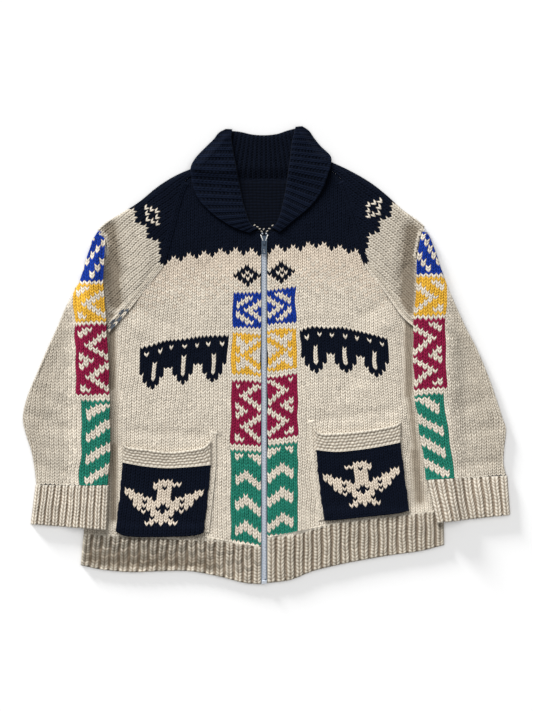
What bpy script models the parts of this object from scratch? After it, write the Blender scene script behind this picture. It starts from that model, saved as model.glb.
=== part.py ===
"""Cowichan cardigan with a shawl collar and an open-ended zip, lying flat on its back.

Sizes and tables are in millimetres. The frame's +X points to the wearer's left, +Y to the
collar and +Z up from the surface that the cardigan lies on. The origin is the middle of the
garment's outline, on that surface. Every knitted piece is a closed wall of its own: the back
lies lowest, the fronts lie on it, and pockets, lapels and sleeves lie on the fronts.
"""

import math
from collections import namedtuple

import bmesh
import bpy
import numpy as np

MM = 0.001

# The knitted cloth
WALL = 5.0
GAP = 0.3
FOLD = WALL + GAP / 2
FRONT_BASE = WALL + GAP
FRONT_TOP = FRONT_BASE + WALL
ON_FRONT = FRONT_TOP + GAP
SEAM_DIP = 1.1
SEAM_LAND = 4.0
RIB_RISE = 1.5
CAP_PUFF = 2.4
SLEEVE_PUFF = 1.6
SHELF_MARGIN = 7.0
SLEEVE_DROP = 30.0
LAPEL_DROOP_REACH = 16.0
POCKET_RIDE = 1.9
POCKET_RIDE_FROM = 26.0
POCKET_RIDE_LONG = 14.0
BAND_SLACK = 1.5
SHARP_ANGLE = 50

# Counts of sections and ribs
SEAM_POINTS = 33
BACK_SEAM_POINTS = 65
RAGLAN_ROWS = 13
SIDE_ROWS = 6
FRONT_COLUMNS = 8
BACK_COLUMNS = 11
POCKET_COLUMNS = 5
TURN_POINTS = 5
HEM_RIBS = 19
CUFF_RIBS = 11
LAPEL_RIBS = 19
COLLAR_RIBS = 15
BAND_RIDGES = 4
RIBS_PER_PLAIN_ROW = 3

# Widths that the seams' slopes are set out from
FRONT_WIDTH = 280.0
BACK_WIDTH = 560.0
POCKET_WIDTH = 130.0

# Shares of a rib's width at which its top starts and ends, and its flank ends
RIB_TOP_FROM = 0.22
RIB_TOP_TO = 0.62
RIB_FLANK_END = 0.92

# Shares of a piece's length or width at which its sections stand
HEM_SHARES = (0.0, 0.12, 0.55, 0.9, 1.0)
CUFF_SHARES = (0.0, 0.08, 0.5, 0.92, 1.0)
POCKET_SHARES = (0.0, 0.04, 0.35, 0.7, 0.9, 0.97, 1.0)
CAP_SHARES = (0.0, 0.06, 0.3, 0.6, 1.0)
LAPEL_SHARES = (0.0, 0.12, 0.5, 1.0)
COLLAR_SHARES = (0.0, 0.06, 0.15, 0.3, 1.0)
COLLAR_DIP_SHARE = 0.3

# The zip: the gap that it lies in, its tape and its chain of teeth
ZIP_X = -3.5
ZIP_GAP = 4.9
ZIP_HALF = 4.4
ZIP_TOP = 190.0
ZIP_FOOT_RIGHT = -366.0
ZIP_FOOT_LEFT = -364.0
TAPE_BASE = 6.6
TAPE_THICK = 0.8
TAPE_TOP_Y = ZIP_TOP + 2.0
CHAIN_HALF = 3.3
CHAIN_TOP = 10.0
CHAIN_TOP_Y = ZIP_TOP - 1.5
CHAIN_FOOT = 6.0
STOP_LOW_Y = ZIP_TOP + 2.3
STOP_HIGH_Y = ZIP_TOP + 5.0
STOP_ROUND = 0.5
PIN_BOX_HALF = 3.9
PIN_BOX_LONG = 5.4
PIN_BOX_TOP = CHAIN_TOP + 0.6
PIN_BOX_ROUND = 0.6

# The zip's slider: two plates on a neck, with an arch that holds the pull tab
SLIDER_LONG = 17.0
SLIDER_HALF = 4.5
SLIDER_LOW_Y = ZIP_TOP - SLIDER_LONG
BASE_PLATE = (5.4, 6.3)
TOP_PLATE = (10.3, 11.5)
NECK_LONG = 6.0
NECK_HALF = 1.6
ARCH_HALF = 1.3
ARCH_LOW_Y = SLIDER_LOW_Y + 3.0
ARCH_HIGH_Y = ARCH_LOW_Y + 7.0
ARCH_TOP = 15.8
ARCH_POST = 1.6
ARCH_BAR = 1.3
BITE = 0.3

# The pull tab, from the axis of the bar that passes under the arch
PULL_AXIS_Y = (ARCH_LOW_Y + ARCH_HIGH_Y) / 2
PULL_AXIS_Z = 13.0
PULL_HALF = 4.0
PULL_THICK = 1.4
PULL_BAR = 0.85
PULL_EYE_HALF = 1.8
PULL_EYE_END = 5.2
PULL_LONG = 19.0
PULL_SLOT_HALF = 1.7
PULL_SLOT_FROM = 10.5
PULL_SLOT_TO = 16.6
CUTTER_REACH = 20.0

Point = namedtuple("Point", "x y")
SleeveRow = namedtuple("SleeveRow", "inner_x inner_y outer_x outer_y perch shelf_x")
CollarRow = namedtuple("CollarRow", "fold_x fold_y edge_x edge_y perch droop")
Side = namedtuple(
    "Side",
    "name sign raglan cap_folds side_seam hem_line hem_edge sleeve cuff_top cuff_end lapel pocket",
)
Pocket = namedtuple("Pocket", "mouth_top mouth_base foot outer inner")

# Raglan seams, from the neck to the underarm
RAGLAN_RIGHT = (
    Point(-104, 290),
    Point(-122, 284),
    Point(-135, 270),
    Point(-144, 244),
    Point(-151, 216),
    Point(-160, 182),
    Point(-170, 148),
    Point(-186, 126),
    Point(-202, 106),
    Point(-218, 85),
    Point(-230, 70),
    Point(-254, 44),
    Point(-279, 20),
)
RAGLAN_LEFT = (
    Point(97, 297),
    Point(112, 288),
    Point(124, 272),
    Point(133, 246),
    Point(144, 214),
    Point(153, 181),
    Point(162, 148),
    Point(185, 118),
    Point(201, 96),
    Point(223, 65),
    Point(250, 43),
    Point(279, 20),
)

# Where each sleeve cap folds over: down the shoulder, then out of sight under the sleeve.
# One row for each station of the raglan seam but the last, at the underarm.
CAP_FOLDS_RIGHT = (
    Point(-102, 304),
    Point(-140, 289),
    Point(-172, 270),
    Point(-204, 244),
    Point(-234, 225),
    Point(-257, 211),
    Point(-270, 199),
    Point(-256.6, 189),
    Point(-255.6, 172),
    Point(-257, 159),
    Point(-268, 118),
    Point(-277, 56),
)
CAP_FOLDS_LEFT = (
    Point(99, 310),
    Point(130, 296),
    Point(165, 276),
    Point(192, 255),
    Point(217, 232),
    Point(240, 216),
    Point(253, 205),
    Point(245, 190),
    Point(241.5, 172),
    Point(238.8, 159),
    Point(254, 118),
    Point(275, 56),
)

# Side seams, from the hem's ribbing to the underarm
SIDE_SEAM_RIGHT = (Point(-292, -285), Point(-288, -180), Point(-283, -70), Point(-279, 20))
SIDE_SEAM_LEFT = (Point(283, -248), Point(283, -150), Point(281, -60), Point(279, 20))

# Line between the body and the hem's ribbing, from the side seam to the zip
HEM_LINE_RIGHT = (
    Point(-292, -285),
    Point(-241, -290),
    Point(-170, -290.5),
    Point(-102, -291),
    Point(-57, -300),
    Point(ZIP_X - ZIP_GAP, -307),
)
HEM_LINE_LEFT = (
    Point(283, -248),
    Point(228, -255),
    Point(160, -263),
    Point(94, -272),
    Point(47, -287),
    Point(ZIP_X + ZIP_GAP, -292),
)

# Free edge of the hem, from the side seam to the zip
HEM_EDGE_RIGHT = (
    Point(-297, -336),
    Point(-266, -343),
    Point(-218, -347.5),
    Point(-170, -346),
    Point(-122, -346),
    Point(-74, -355),
    Point(-34, -365),
    Point(ZIP_X - ZIP_GAP, -366.8),
)
HEM_EDGE_LEFT = (
    Point(284, -304),
    Point(245, -314),
    Point(202, -320),
    Point(160, -327),
    Point(119, -335),
    Point(74, -346),
    Point(38, -360),
    Point(ZIP_X + ZIP_GAP, -365),
)

# Sleeves below the shoulder bend, from the shoulder to the cuff. perch is the height of the
# cloth that the inner edge lies on, and shelf_x is where that cloth ends.
SLEEVE_RIGHT = (
    SleeveRow(-264, 191.5, -275, 188.5, 0.0, -264),
    SleeveRow(-257.6, 184, -279, 182, 3.5, -259),
    SleeveRow(-256.8, 172, -282, 171, 7.5, -258),
    SleeveRow(-258, 158, -287, 157, 11.0, -262),
    SleeveRow(-260, 121, -299, 118, 11.0, -271),
    SleeveRow(-257, 80, -319, 80, 11.0, -277),
    SleeveRow(-255, 46, -334, 45, 11.0, -281),
    SleeveRow(-253, 10, -350, 10, 11.0, -282),
    SleeveRow(-251, -30, -367, -30, 11.0, -284),
    SleeveRow(-250, -66, -382, -66, 11.0, -286),
    SleeveRow(-249, -101, -389.6, -100, 11.0, -287),
    SleeveRow(-249, -127, -385, -126, 11.0, -288),
    SleeveRow(-249, -157, -376, -154, 11.0, -289),
    SleeveRow(-251, -182, -371, -181, 11.0, -290),
    SleeveRow(-253, -207, -368, -207, 11.0, -291),
)
SLEEVE_LEFT = (
    SleeveRow(250, 197.5, 257.5, 195, 0.0, 250),
    SleeveRow(246.5, 188, 262, 186, 3.5, 247),
    SleeveRow(242.5, 172, 268, 171, 7.5, 244),
    SleeveRow(240, 158, 273, 157, 11.0, 245),
    SleeveRow(239, 121, 286, 118, 11.0, 257),
    SleeveRow(235.5, 80, 302, 80, 11.0, 272),
    SleeveRow(234, 46, 318, 45, 11.0, 281),
    SleeveRow(234, 10, 336, 10, 11.0, 282),
    SleeveRow(234, -30, 353, -30, 11.0, 283),
    SleeveRow(236, -66, 366, -66, 11.0, 284),
    SleeveRow(240, -101, 377, -100, 11.0, 284),
    SleeveRow(244, -127, 383, -120, 11.0, 284),
    SleeveRow(249, -157, 380, -150, 11.0, 285),
    SleeveRow(252, -180, 379, -174, 11.0, 285),
    SleeveRow(254, -198, 383, -192, 12.4, 286),
)
CUFF_TOP_RIGHT = SleeveRow(-252, -208, -369, -208, 11.0, -291)
CUFF_END_RIGHT = SleeveRow(-255, -280, -377, -271, 11.0, -293)
CUFF_TOP_LEFT = SleeveRow(256, -199, 385, -193, 12.4, 286)
CUFF_END_LEFT = SleeveRow(272, -269, 389.6, -256, 12.4, 286)

# Lapels, from the zip to the corner at the top of the neck. perch is the height of what the
# folded band lies on, and droop is how far its outer edge sinks beyond the shoulder.
LAPEL_RIGHT = (
    CollarRow(-14, 202, -27, 195, 5.5, 0.0),
    CollarRow(-23, 207, -44, 200, 5.5, 0.0),
    CollarRow(-28, 215, -63, 209, 5.5, 0.0),
    CollarRow(-32, 227, -86, 225, 5.5, 0.0),
    CollarRow(-37, 243, -106, 245, 5.5, 0.0),
    CollarRow(-40, 260, -116, 264, 5.5, 0.0),
    CollarRow(-44, 278, -120, 283, 7.5, 0.0),
    CollarRow(-47, 296, -121, 299, 12.3, 2.0),
    CollarRow(-51, 315, -113, 315, 12.3, 9.0),
    CollarRow(-54, 332, -96, 333, 12.3, 13.5),
    CollarRow(-56, 346, -81, 348, 12.3, 13.5),
    CollarRow(-57, 357, -69, 361, 10.5, 12.0),
)
LAPEL_LEFT = (
    CollarRow(9, 203, 21, 196, 5.5, 0.0),
    CollarRow(16, 211, 31, 204, 5.5, 0.0),
    CollarRow(21, 223, 41, 213, 5.5, 0.0),
    CollarRow(25, 238, 54, 223, 5.5, 0.0),
    CollarRow(28, 253, 68, 235, 5.5, 0.0),
    CollarRow(31, 268, 81, 250, 6.0, 0.0),
    CollarRow(33, 283, 91, 268, 9.0, 0.0),
    CollarRow(35, 298, 98, 287, 12.3, 0.0),
    CollarRow(37, 312, 103, 304, 12.3, 3.0),
    CollarRow(38.5, 325, 102, 318, 12.3, 9.0),
    CollarRow(40, 338, 86, 334, 12.3, 13.5),
    CollarRow(43, 351, 73, 349, 12.3, 13.5),
    CollarRow(48, 361, 62, 366.8, 10.5, 12.0),
)
STAND_SHARE = 0.62
NECK_SHARE = 0.92
NECK_ROWS = 6

# Back of the collar: its seam at the neck, and its fold along the top
BACK_NECK = (
    Point(-104, 290),
    Point(-80, 284),
    Point(-50, 279),
    Point(0, 277.5),
    Point(45, 279),
    Point(75, 286),
    Point(97, 297),
)
COLLAR_SEAM_ENDS = (-76, 68)
COLLAR_FOLD = (
    Point(-60, 354),
    Point(-42, 356),
    Point(-22, 352),
    Point(-2, 351),
    Point(17, 353),
    Point(32, 358),
    Point(48, 361),
)
COLLAR_FALL = 50.0

# Patch pockets: edges run from the side towards the zip, sides from the mouth to the foot
POCKET_RIGHT = Pocket(
    mouth_top=(Point(-229, -140), Point(-221, -147), Point(-190, -151), Point(-156, -155),
               Point(-125, -152), Point(-101, -147), Point(-89, -136)),
    mouth_base=(Point(-230, -172), Point(-196, -178), Point(-159, -181), Point(-120, -179),
                Point(-89, -176)),
    foot=(Point(-241, -282), Point(-222, -290), Point(-170, -291), Point(-118, -289),
          Point(-100, -284)),
    outer=(Point(-230, -172), Point(-233, -210), Point(-241, -282)),
    inner=(Point(-89, -176), Point(-93, -220), Point(-100, -284)),
)
POCKET_LEFT = Pocket(
    mouth_top=(Point(214, -107), Point(204, -112), Point(176, -118), Point(146, -122),
               Point(112, -125), Point(86, -125), Point(77, -118)),
    mouth_base=(Point(214, -140), Point(184, -146), Point(154, -151), Point(112, -155),
                Point(79, -152)),
    foot=(Point(228, -249), Point(206, -254), Point(160, -259), Point(112, -264),
          Point(92, -265)),
    outer=(Point(214, -140), Point(220, -190), Point(228, -249)),
    inner=(Point(79, -152), Point(84, -205), Point(92, -265)),
)
RIGHT = Side("right", -1, RAGLAN_RIGHT, CAP_FOLDS_RIGHT, SIDE_SEAM_RIGHT, HEM_LINE_RIGHT,
             HEM_EDGE_RIGHT, SLEEVE_RIGHT, CUFF_TOP_RIGHT, CUFF_END_RIGHT, LAPEL_RIGHT,
             POCKET_RIGHT)
LEFT = Side("left", 1, RAGLAN_LEFT, CAP_FOLDS_LEFT, SIDE_SEAM_LEFT, HEM_LINE_LEFT,
            HEM_EDGE_LEFT, SLEEVE_LEFT, CUFF_TOP_LEFT, CUFF_END_LEFT, LAPEL_LEFT,
            POCKET_LEFT)

# Yarn and metal colours
CREAM = (0.68, 0.60, 0.49)
NAVY = (0.012, 0.017, 0.030)
STEEL_BLUE = (0.10, 0.13, 0.17)
SILVER = (0.62, 0.66, 0.72)


# ---------------------------------------------------------------- curves and heights


def smooth(table, count):
    """Evenly spaced points on a smooth curve through a table's points."""
    knots = np.array([(p[0], p[1]) for p in table], float)
    if len(knots) == 2:
        return knots[0] + np.linspace(0, 1, count)[:, None] * (knots[1] - knots[0])
    padded = np.vstack([2 * knots[0] - knots[1], knots, 2 * knots[-1] - knots[-2]])
    t = np.linspace(0, 1, 16, endpoint=False)[:, None]
    dense = []
    for a, b, c, d in zip(padded, padded[1:], padded[2:], padded[3:]):
        dense.append(b + 0.5 * t * (c - a + t * (2 * a - 5 * b + 4 * c - d + t * (3 * (b - c) + d - a))))
    dense = np.vstack(dense + [knots[-1:]])
    run = np.concatenate([[0], np.cumsum(np.linalg.norm(np.diff(dense, axis=0), axis=1))])
    at = np.linspace(0, run[-1], count)
    return np.column_stack([np.interp(at, run, dense[:, k]) for k in (0, 1)])


def spread(line, shares):
    """Points at the given shares of a polyline's points, counted from its first."""
    line = np.asarray(line, float)
    at = np.asarray(shares) * (len(line) - 1)
    return np.column_stack([np.interp(at, np.arange(len(line)), line[:, k])
                            for k in range(line.shape[1])])


def ease(share):
    """A smooth step from 0 to 1."""
    share = np.clip(share, 0, 1)
    return share * share * (3 - 2 * share)


def columns_of(rows, names):
    """The named columns of a table, as an array with a row for each of its rows."""
    return np.array([[getattr(row, name) for name in names.split()] for row in rows], float)


def patch(near, far, left, right, across, along):
    """Points of a panel between four edges: near and far run across it, left and right along."""
    s, t = np.asarray(across)[None, :, None], np.asarray(along)[:, None, None]
    near, far, left, right = (np.asarray(e, float) for e in (near, far, left, right))
    sides = (1 - s) * left[:, None] + s * right[:, None]
    ends = (1 - t) * near[None] + t * far[None]
    corners = ((1 - t) * ((1 - s) * near[0] + s * near[-1])
               + t * ((1 - s) * far[0] + s * far[-1]))
    return sides + ends - corners


def shares_with_lands(count, width):
    """Even shares of a width, with one more just inside each edge for the seam's slope."""
    land = SEAM_LAND / width
    inner = np.linspace(land, 1 - land, count)
    return np.concatenate([[0], inner, [1]])


def rib_shares(ribs):
    """Shares across a run of ribs, and which of them lie on a rib's top."""
    marks = [(0.0, 0.0)]
    for rib in range(ribs):
        marks += [((rib + RIB_TOP_FROM) / ribs, 1.0), ((rib + RIB_TOP_TO) / ribs, 1.0)]
        marks += [((rib + RIB_FLANK_END) / ribs, 0.0)] if rib < ribs - 1 else [(1.0, 0.0)]
    return np.array(marks).T


# ---------------------------------------------------------------- meshes


def clear_scene():
    for old in list(bpy.data.objects):
        bpy.data.objects.remove(old, do_unlink=True)


def finish_material(name, colour, roughness, metallic):
    made = bpy.data.materials.new(name)
    made.use_nodes = True
    shader = made.node_tree.nodes["Principled BSDF"]
    shader.inputs["Base Color"].default_value = (*colour, 1.0)
    shader.inputs["Roughness"].default_value = roughness
    shader.inputs["Metallic"].default_value = metallic
    made.diffuse_color = (*colour, 1.0)
    return made


def add_object(name, mesh, colour, roughness=0.9, metallic=0.0):
    made = bpy.data.objects.new(name, mesh)
    bpy.data.collections["cowichan_cardigan"].objects.link(made)
    mesh.materials.append(finish_material(name + "_finish", colour, roughness, metallic))
    return made


def shares_along(verts):
    """How far along its row each vertex lies, from 0 to 1."""
    steps = [(b.co - a.co).length for a, b in zip(verts, verts[1:])]
    run = np.concatenate([[0], np.cumsum(steps)])
    return run / run[-1]


def bridge(bm, one, other):
    """Faces between two rows of vertices of unlike length that start and end together."""
    run_one, run_other = shares_along(one), shares_along(other)
    i = j = 0
    while i < len(one) - 1 or j < len(other) - 1:
        if j == len(other) - 1 or (i < len(one) - 1 and run_one[i + 1] <= run_other[j + 1]):
            bm.faces.new((one[i], one[i + 1], other[j]))
            i += 1
        else:
            bm.faces.new((one[i], other[j + 1], other[j]))
            j += 1


def cloth(name, outer, inner, colour):
    """A closed wall between an outer and an inner grid of points, joined round their rims."""
    bm = bmesh.new()
    grids = []
    for points in (outer, inner):
        grid = [[bm.verts.new(p * MM) for p in row] for row in points]
        for low, high in zip(grid, grid[1:]):
            for a, b, c, d in zip(low, low[1:], high[1:], high):
                bm.faces.new((a, b, c, d))
        grids.append(grid)
    top, base = grids
    bridge(bm, top[0], base[0])
    bridge(bm, top[-1], base[-1])
    bridge(bm, [row[0] for row in top], [row[0] for row in base])
    bridge(bm, [row[-1] for row in top], [row[-1] for row in base])
    bmesh.ops.triangulate(bm, faces=bm.faces)
    bmesh.ops.recalc_face_normals(bm, faces=bm.faces)
    mesh = bpy.data.meshes.new(name)
    bm.to_mesh(mesh)
    bm.free()
    mesh.shade_smooth()
    mesh.set_sharp_from_angle(angle=math.radians(SHARP_ANGLE))
    return add_object(name, mesh, colour)


def raised(plan, height):
    """A grid of points from a plan grid and its heights."""
    return np.dstack([plan, np.broadcast_to(height, plan.shape[:2])])


def panel(name, plan, base, colour, rise=0.0, plain=None):
    """A flat-lying wall whose outer face dips to its seams; rise lifts its outer points.

    plain is the plan of the inner face where it has fewer points than the outer one.
    """
    dip = np.zeros(plan.shape[:2])
    dip[[0, -1], :] = SEAM_DIP
    dip[:, [0, -1]] = SEAM_DIP
    outer = raised(plan, base + WALL - dip + rise)
    return cloth(name, outer, raised(plan if plain is None else plain, base), colour)


def folded(start, fold, end, height, upper, lower, relief, droop):
    """Outer and inner points of cloth that lies double, folded over along one edge.

    start, fold and end are a plan point a row: the free edge of the upper layer, the fold,
    and the free edge of the lower layer. height is what each row lies on. relief(i, share)
    lifts the upper layer's outer face, and droop lowers the upper layer's free edge.
    """
    rows_out, rows_in = [], []
    turn = np.radians(np.linspace(90, -90, TURN_POINTS))[1:-1]
    for i, (a, f, b) in enumerate(zip(start, fold, end)):
        reach = np.linalg.norm(f - a)
        heading = (f - a) / reach
        radius = min(FOLD, 0.42 * reach)
        centre = f - radius * heading
        low = height(i, 1.0)
        out, inn = [], []
        for share in upper:
            p = a + share * (centre - a)
            z = height(i, share) - droop(i, share)
            out.append((*p, z + 2 * WALL + GAP + relief(i, share)))
            inn.append((*p, z + WALL + GAP))
        for angle in turn:
            side, up = math.cos(angle), math.sin(angle)
            lift = relief(i, 1.0) * max(up, 0) + FOLD
            out.append((*(centre + radius * side * heading), low + FOLD + lift * up))
            inn.append((*(centre + GAP / 2 * side * heading), low + FOLD + GAP / 2 * up))
        for share in lower:
            p = centre + share * (b - centre)
            z = height(i, 1.0 - share * np.linalg.norm(b - centre) / reach)
            out.append((*p, z))
            inn.append((*p, z + WALL))
        rows_out.append(out)
        rows_in.append(inn)
    return np.array(rows_out), np.array(rows_in)


# ---------------------------------------------------------------- body


def raglan_stations(side):
    return smooth(side.raglan, RAGLAN_ROWS)


def side_stations(side):
    return smooth(side.side_seam, SIDE_ROWS)


def neck_edge(side):
    """Neck edge of a front, from the shoulder to the zip, just clear of the lapel's stand."""
    rows = columns_of(side.lapel, "fold_x fold_y edge_x edge_y")[NECK_ROWS - 1::-1]
    return rows[:, :2] + NECK_SHARE * (rows[:, 2:] - rows[:, :2])


def back_columns():
    return shares_with_lands(BACK_COLUMNS, BACK_WIDTH)


def back_neck_line():
    """Neck edge of the back, at the back's own columns."""
    return spread(smooth(BACK_NECK, BACK_SEAM_POINTS), back_columns())


def front_columns():
    return shares_with_lands(FRONT_COLUMNS, FRONT_WIDTH)


def hem_line(side):
    """Upper edge of a front's ribbing, at the front's own columns."""
    return spread(smooth(side.hem_line, SEAM_POINTS), front_columns())


def between_columns(line, columns, shares):
    """Points on a seam at other shares than the columns that its polyline is drawn through."""
    return np.column_stack([np.interp(shares, columns, line[:, k]) for k in (0, 1)])


def inset(line, towards, by):
    """A line of points moved by a distance towards a point."""
    step = np.asarray(towards, float) - line
    return line + by * step / np.linalg.norm(step, axis=1, keepdims=True)


def build_front(side):
    zip_edge = ZIP_X + side.sign * ZIP_GAP
    outer = np.vstack([side_stations(side)[:-1], raglan_stations(side)[::-1]])
    outer[:, 0] -= side.sign * GAP / 2
    top_table = [outer[-1], *neck_edge(side), np.array((zip_edge, ZIP_TOP + 5))]
    across = front_columns()
    far = spread(smooth(top_table, SEAM_POINTS), across)
    near = hem_line(side) + (0, GAP / 2)
    along = np.linspace(0, 1, len(outer))
    inner = near[-1] + along[:, None] * (far[-1] - near[-1])
    outer[0] = near[0]
    far[0] = outer[-1]
    plan = patch(near, far, outer, inner, across, along)
    return panel(f"front_{side.name}", plan, FRONT_BASE, CREAM)


def back_line(right, left, middle_y):
    """A line right across the back, from the tables of the two fronts."""
    table = list(right[:-1]) + [Point(ZIP_X, middle_y)] + list(left[-2::-1])
    return spread(smooth(table, BACK_SEAM_POINTS), back_columns())


def build_back():
    edges = []
    for side in (RIGHT, LEFT):
        edge = np.vstack([side_stations(side)[:-1], raglan_stations(side)[::-1]])
        edge[:, 0] -= side.sign * GAP / 2
        edges.append(edge)
    across = back_columns()
    near = back_line(HEM_LINE_RIGHT, HEM_LINE_LEFT, -300) + (0, GAP / 2)
    far = back_neck_line()
    right_edge, left_edge = edges
    right_edge[0], left_edge[0] = near[0], near[-1]
    far[0], far[-1] = right_edge[-1], left_edge[-1]
    along = np.linspace(0, 1, len(right_edge))
    plan = patch(near, far, right_edge, left_edge, across, along)
    return panel("back", plan, 0.0, CREAM)


def build_hem(side):
    """Ribbing of one front: upright ribs between the hem line and the free edge."""
    across, on_rib = rib_shares(HEM_RIBS)
    plans = []
    for columns, rows in ((across, HEM_SHARES), (front_columns(), HEM_SHARES[::2])):
        line = between_columns(hem_line(side), front_columns(), columns) - (0, GAP / 2)
        edge = spread(smooth(side.hem_edge, SEAM_POINTS), columns)
        plans.append(line[None] + np.array(rows)[:, None, None] * (edge - line)[None])
    rise = np.array([0.0, 1.0, 1.0, 1.0, 0.0])[:, None] * on_rib[None] * RIB_RISE
    return panel(f"hem_{side.name}", plans[0], FRONT_BASE, CREAM, rise, plans[1])


def build_hem_back():
    line = back_line(HEM_LINE_RIGHT, HEM_LINE_LEFT, -300) - (0, GAP / 2)
    edge = back_line(HEM_EDGE_RIGHT, HEM_EDGE_LEFT, -365)
    shares = np.array(HEM_SHARES)[:, None, None]
    return panel("hem_back", line[None] + shares * (edge - line)[None], 0.0, CREAM)


# ---------------------------------------------------------------- sleeves


def build_sleeve_upper(side):
    """Cap of a sleeve, from the raglan seams to the fold along the shoulder."""
    fold = np.array(side.cap_folds, float)
    seam = raglan_stations(side)[: len(fold)]
    seam = inset(seam, fold.mean(axis=0), GAP / 2)
    seam[:, 0] += side.sign * GAP / 2
    hidden = next(i for i, (x, y) in enumerate(fold) if y < side.sleeve[0].inner_y)

    def relief(i, share):
        along = math.sin(math.pi * min(i / (hidden + 1), 1))
        return CAP_PUFF * math.sin(math.pi * share) * along if share > 0 else -SEAM_DIP

    outer, inner = folded(seam, fold, seam, lambda i, share: 0.0, CAP_SHARES, (0.0, 0.5, 1.0),
                          relief, lambda i, share: 0.0)
    return cloth(f"sleeve_upper_{side.name}", outer, inner, CREAM)


def shelf_height(row, x, sign):
    """Height of what a sleeve lies on at x: its perch as far as the shelf, then the floor."""
    past = sign * (x - row.shelf_x) - SHELF_MARGIN
    room = max(sign * (row.outer_x - row.shelf_x) - SHELF_MARGIN - FOLD, 4.0)
    return row.perch * (1 - ease(past / min(SLEEVE_DROP, room)))


def flat_tube(rows, sign, upper, lower, relief):
    """Outer and inner points of a tube that lies flat, slit along its inner edge."""
    rows_out, rows_in = [], []
    inner_turn = np.radians(np.linspace(176, 90, 4))
    outer_turn = np.radians(np.linspace(90, -90, 6))
    for i, row in enumerate(rows):
        a, f = np.array(row[:2]), np.array(row[2:4])
        reach = np.linalg.norm(f - a)
        heading = (f - a) / reach
        radius = min(FOLD, 0.35 * reach)
        near, far = a + radius * heading, f - radius * heading
        out, inn = [], []

        def add(centre, angle, rise=0.0):
            side, up = math.cos(angle), math.sin(angle)
            low = shelf_height(row, centre[0], sign) + FOLD
            tall = FOLD + rise * max(up, 0)
            out.append((*(centre + radius * side * heading), low + tall * up))
            inn.append((*(centre + GAP / 2 * side * heading), low + GAP / 2 * up))

        for angle in inner_turn[:-1]:
            add(near, angle)
        for share in upper:
            add(near + share * (far - near), math.pi / 2, relief(i, share))
        for angle in outer_turn[1:-1]:
            add(far, angle)
        for share in lower:
            add(far + share * (near - far), -math.pi / 2)
        for angle in inner_turn[-2::-1]:
            add(near, -angle)
        rows_out.append(out)
        rows_in.append(inn)
    return np.array(rows_out), np.array(rows_in)


def refined(rows):
    """A sleeve's table with a row more between each two, on smooth curves through them."""
    table = np.array(rows, float)
    padded = np.vstack([2 * table[0] - table[1], table, 2 * table[-1] - table[-2]])
    middle = (9 * (padded[1:-2] + padded[2:-1]) - padded[:-3] - padded[3:]) / 16
    full = np.empty((2 * len(table) - 1, table.shape[1]))
    full[::2] = table
    full[1::2] = middle
    return [SleeveRow(*row) for row in full]


def build_sleeve_lower(side):
    """Stretch of a sleeve that is folded down beside the body, as far as the cuff."""
    rows = refined(side.sleeve)

    def relief(i, share):
        ends = math.sin(math.pi * i / (len(rows) - 1))
        return SLEEVE_PUFF * math.sin(math.pi * share) * ends

    outer, inner = flat_tube(rows, side.sign, np.linspace(0, 1, 7), np.linspace(0, 1, 6),
                             relief)
    return cloth(f"sleeve_lower_{side.name}", outer, inner[::2], CREAM)


def build_cuff(side):
    """Ribbed cuff: ribs on top, plain where it rests."""
    across, on_rib = rib_shares(CUFF_RIBS)
    ends = np.array([side.cuff_top, side.cuff_end], float)
    rows = [SleeveRow(*(ends[0] + share * (ends[1] - ends[0]))) for share in CUFF_SHARES]
    rises = dict(zip(across, on_rib))

    def relief(i, share):
        return RIB_RISE * rises[share] * (0 < i < len(rows) - 1)

    under = np.linspace(0, 1, 6)
    outer = flat_tube(rows, side.sign, across, under, relief)[0]
    inner = flat_tube(rows[::2], side.sign, under, under, lambda i, share: 0.0)[1]
    return cloth(f"cuff_{side.name}", outer, inner, CREAM)


# ---------------------------------------------------------------- collar


def build_lapel(side):
    """Front section of the shawl collar: ribs run from its fold to its outer edge."""
    shares, on_rib = rib_shares(LAPEL_RIBS)
    names = "fold_x fold_y edge_x edge_y perch droop"
    table = spread(columns_of(side.lapel, names), shares)
    fold, edge = table[:, :2], table[:, 2:4]
    stand = fold + STAND_SHARE * (edge - fold)

    def relief(i, share):
        return RIB_RISE * on_rib[i] if share > 0 else -SEAM_DIP

    def droop(i, share):
        past = 1 - share * np.linalg.norm(fold[i] - edge[i]) / LAPEL_DROOP_REACH
        return table[i, 5] * ease(past)

    outer, inner = folded(edge, fold, stand, lambda i, share: table[i, 4],
                          LAPEL_SHARES, (0.0, 1.0), relief, droop)
    return cloth(f"lapel_{side.name}", outer, inner[::RIBS_PER_PLAIN_ROW], NAVY)


def build_collar_back():
    """Back section of the collar: a ribbed stand that folds over to a fall beneath it."""
    shares, on_rib = rib_shares(COLLAR_RIBS)
    neck = back_neck_line()
    seam_x = COLLAR_SEAM_ENDS[0] + shares * (COLLAR_SEAM_ENDS[1] - COLLAR_SEAM_ENDS[0])
    seam = np.column_stack([seam_x, np.interp(seam_x, neck[:, 0], neck[:, 1]) + GAP])
    fold = spread(smooth(COLLAR_FOLD, SEAM_POINTS), shares)
    down = (seam - fold) / np.linalg.norm(seam - fold, axis=1, keepdims=True)
    fall = fold + COLLAR_FALL * down

    def relief(i, share):
        return RIB_RISE * on_rib[i] if share > 0 else -SEAM_DIP

    def droop(i, share):
        return (WALL + GAP) * (1 - ease(share / COLLAR_DIP_SHARE))

    outer, inner = folded(seam, fold, fall, lambda i, share: 0.0, COLLAR_SHARES, (0.0, 1.0),
                          relief, droop)
    return cloth("collar_back", outer, inner[::RIBS_PER_PLAIN_ROW], NAVY)


# ---------------------------------------------------------------- pockets


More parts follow.
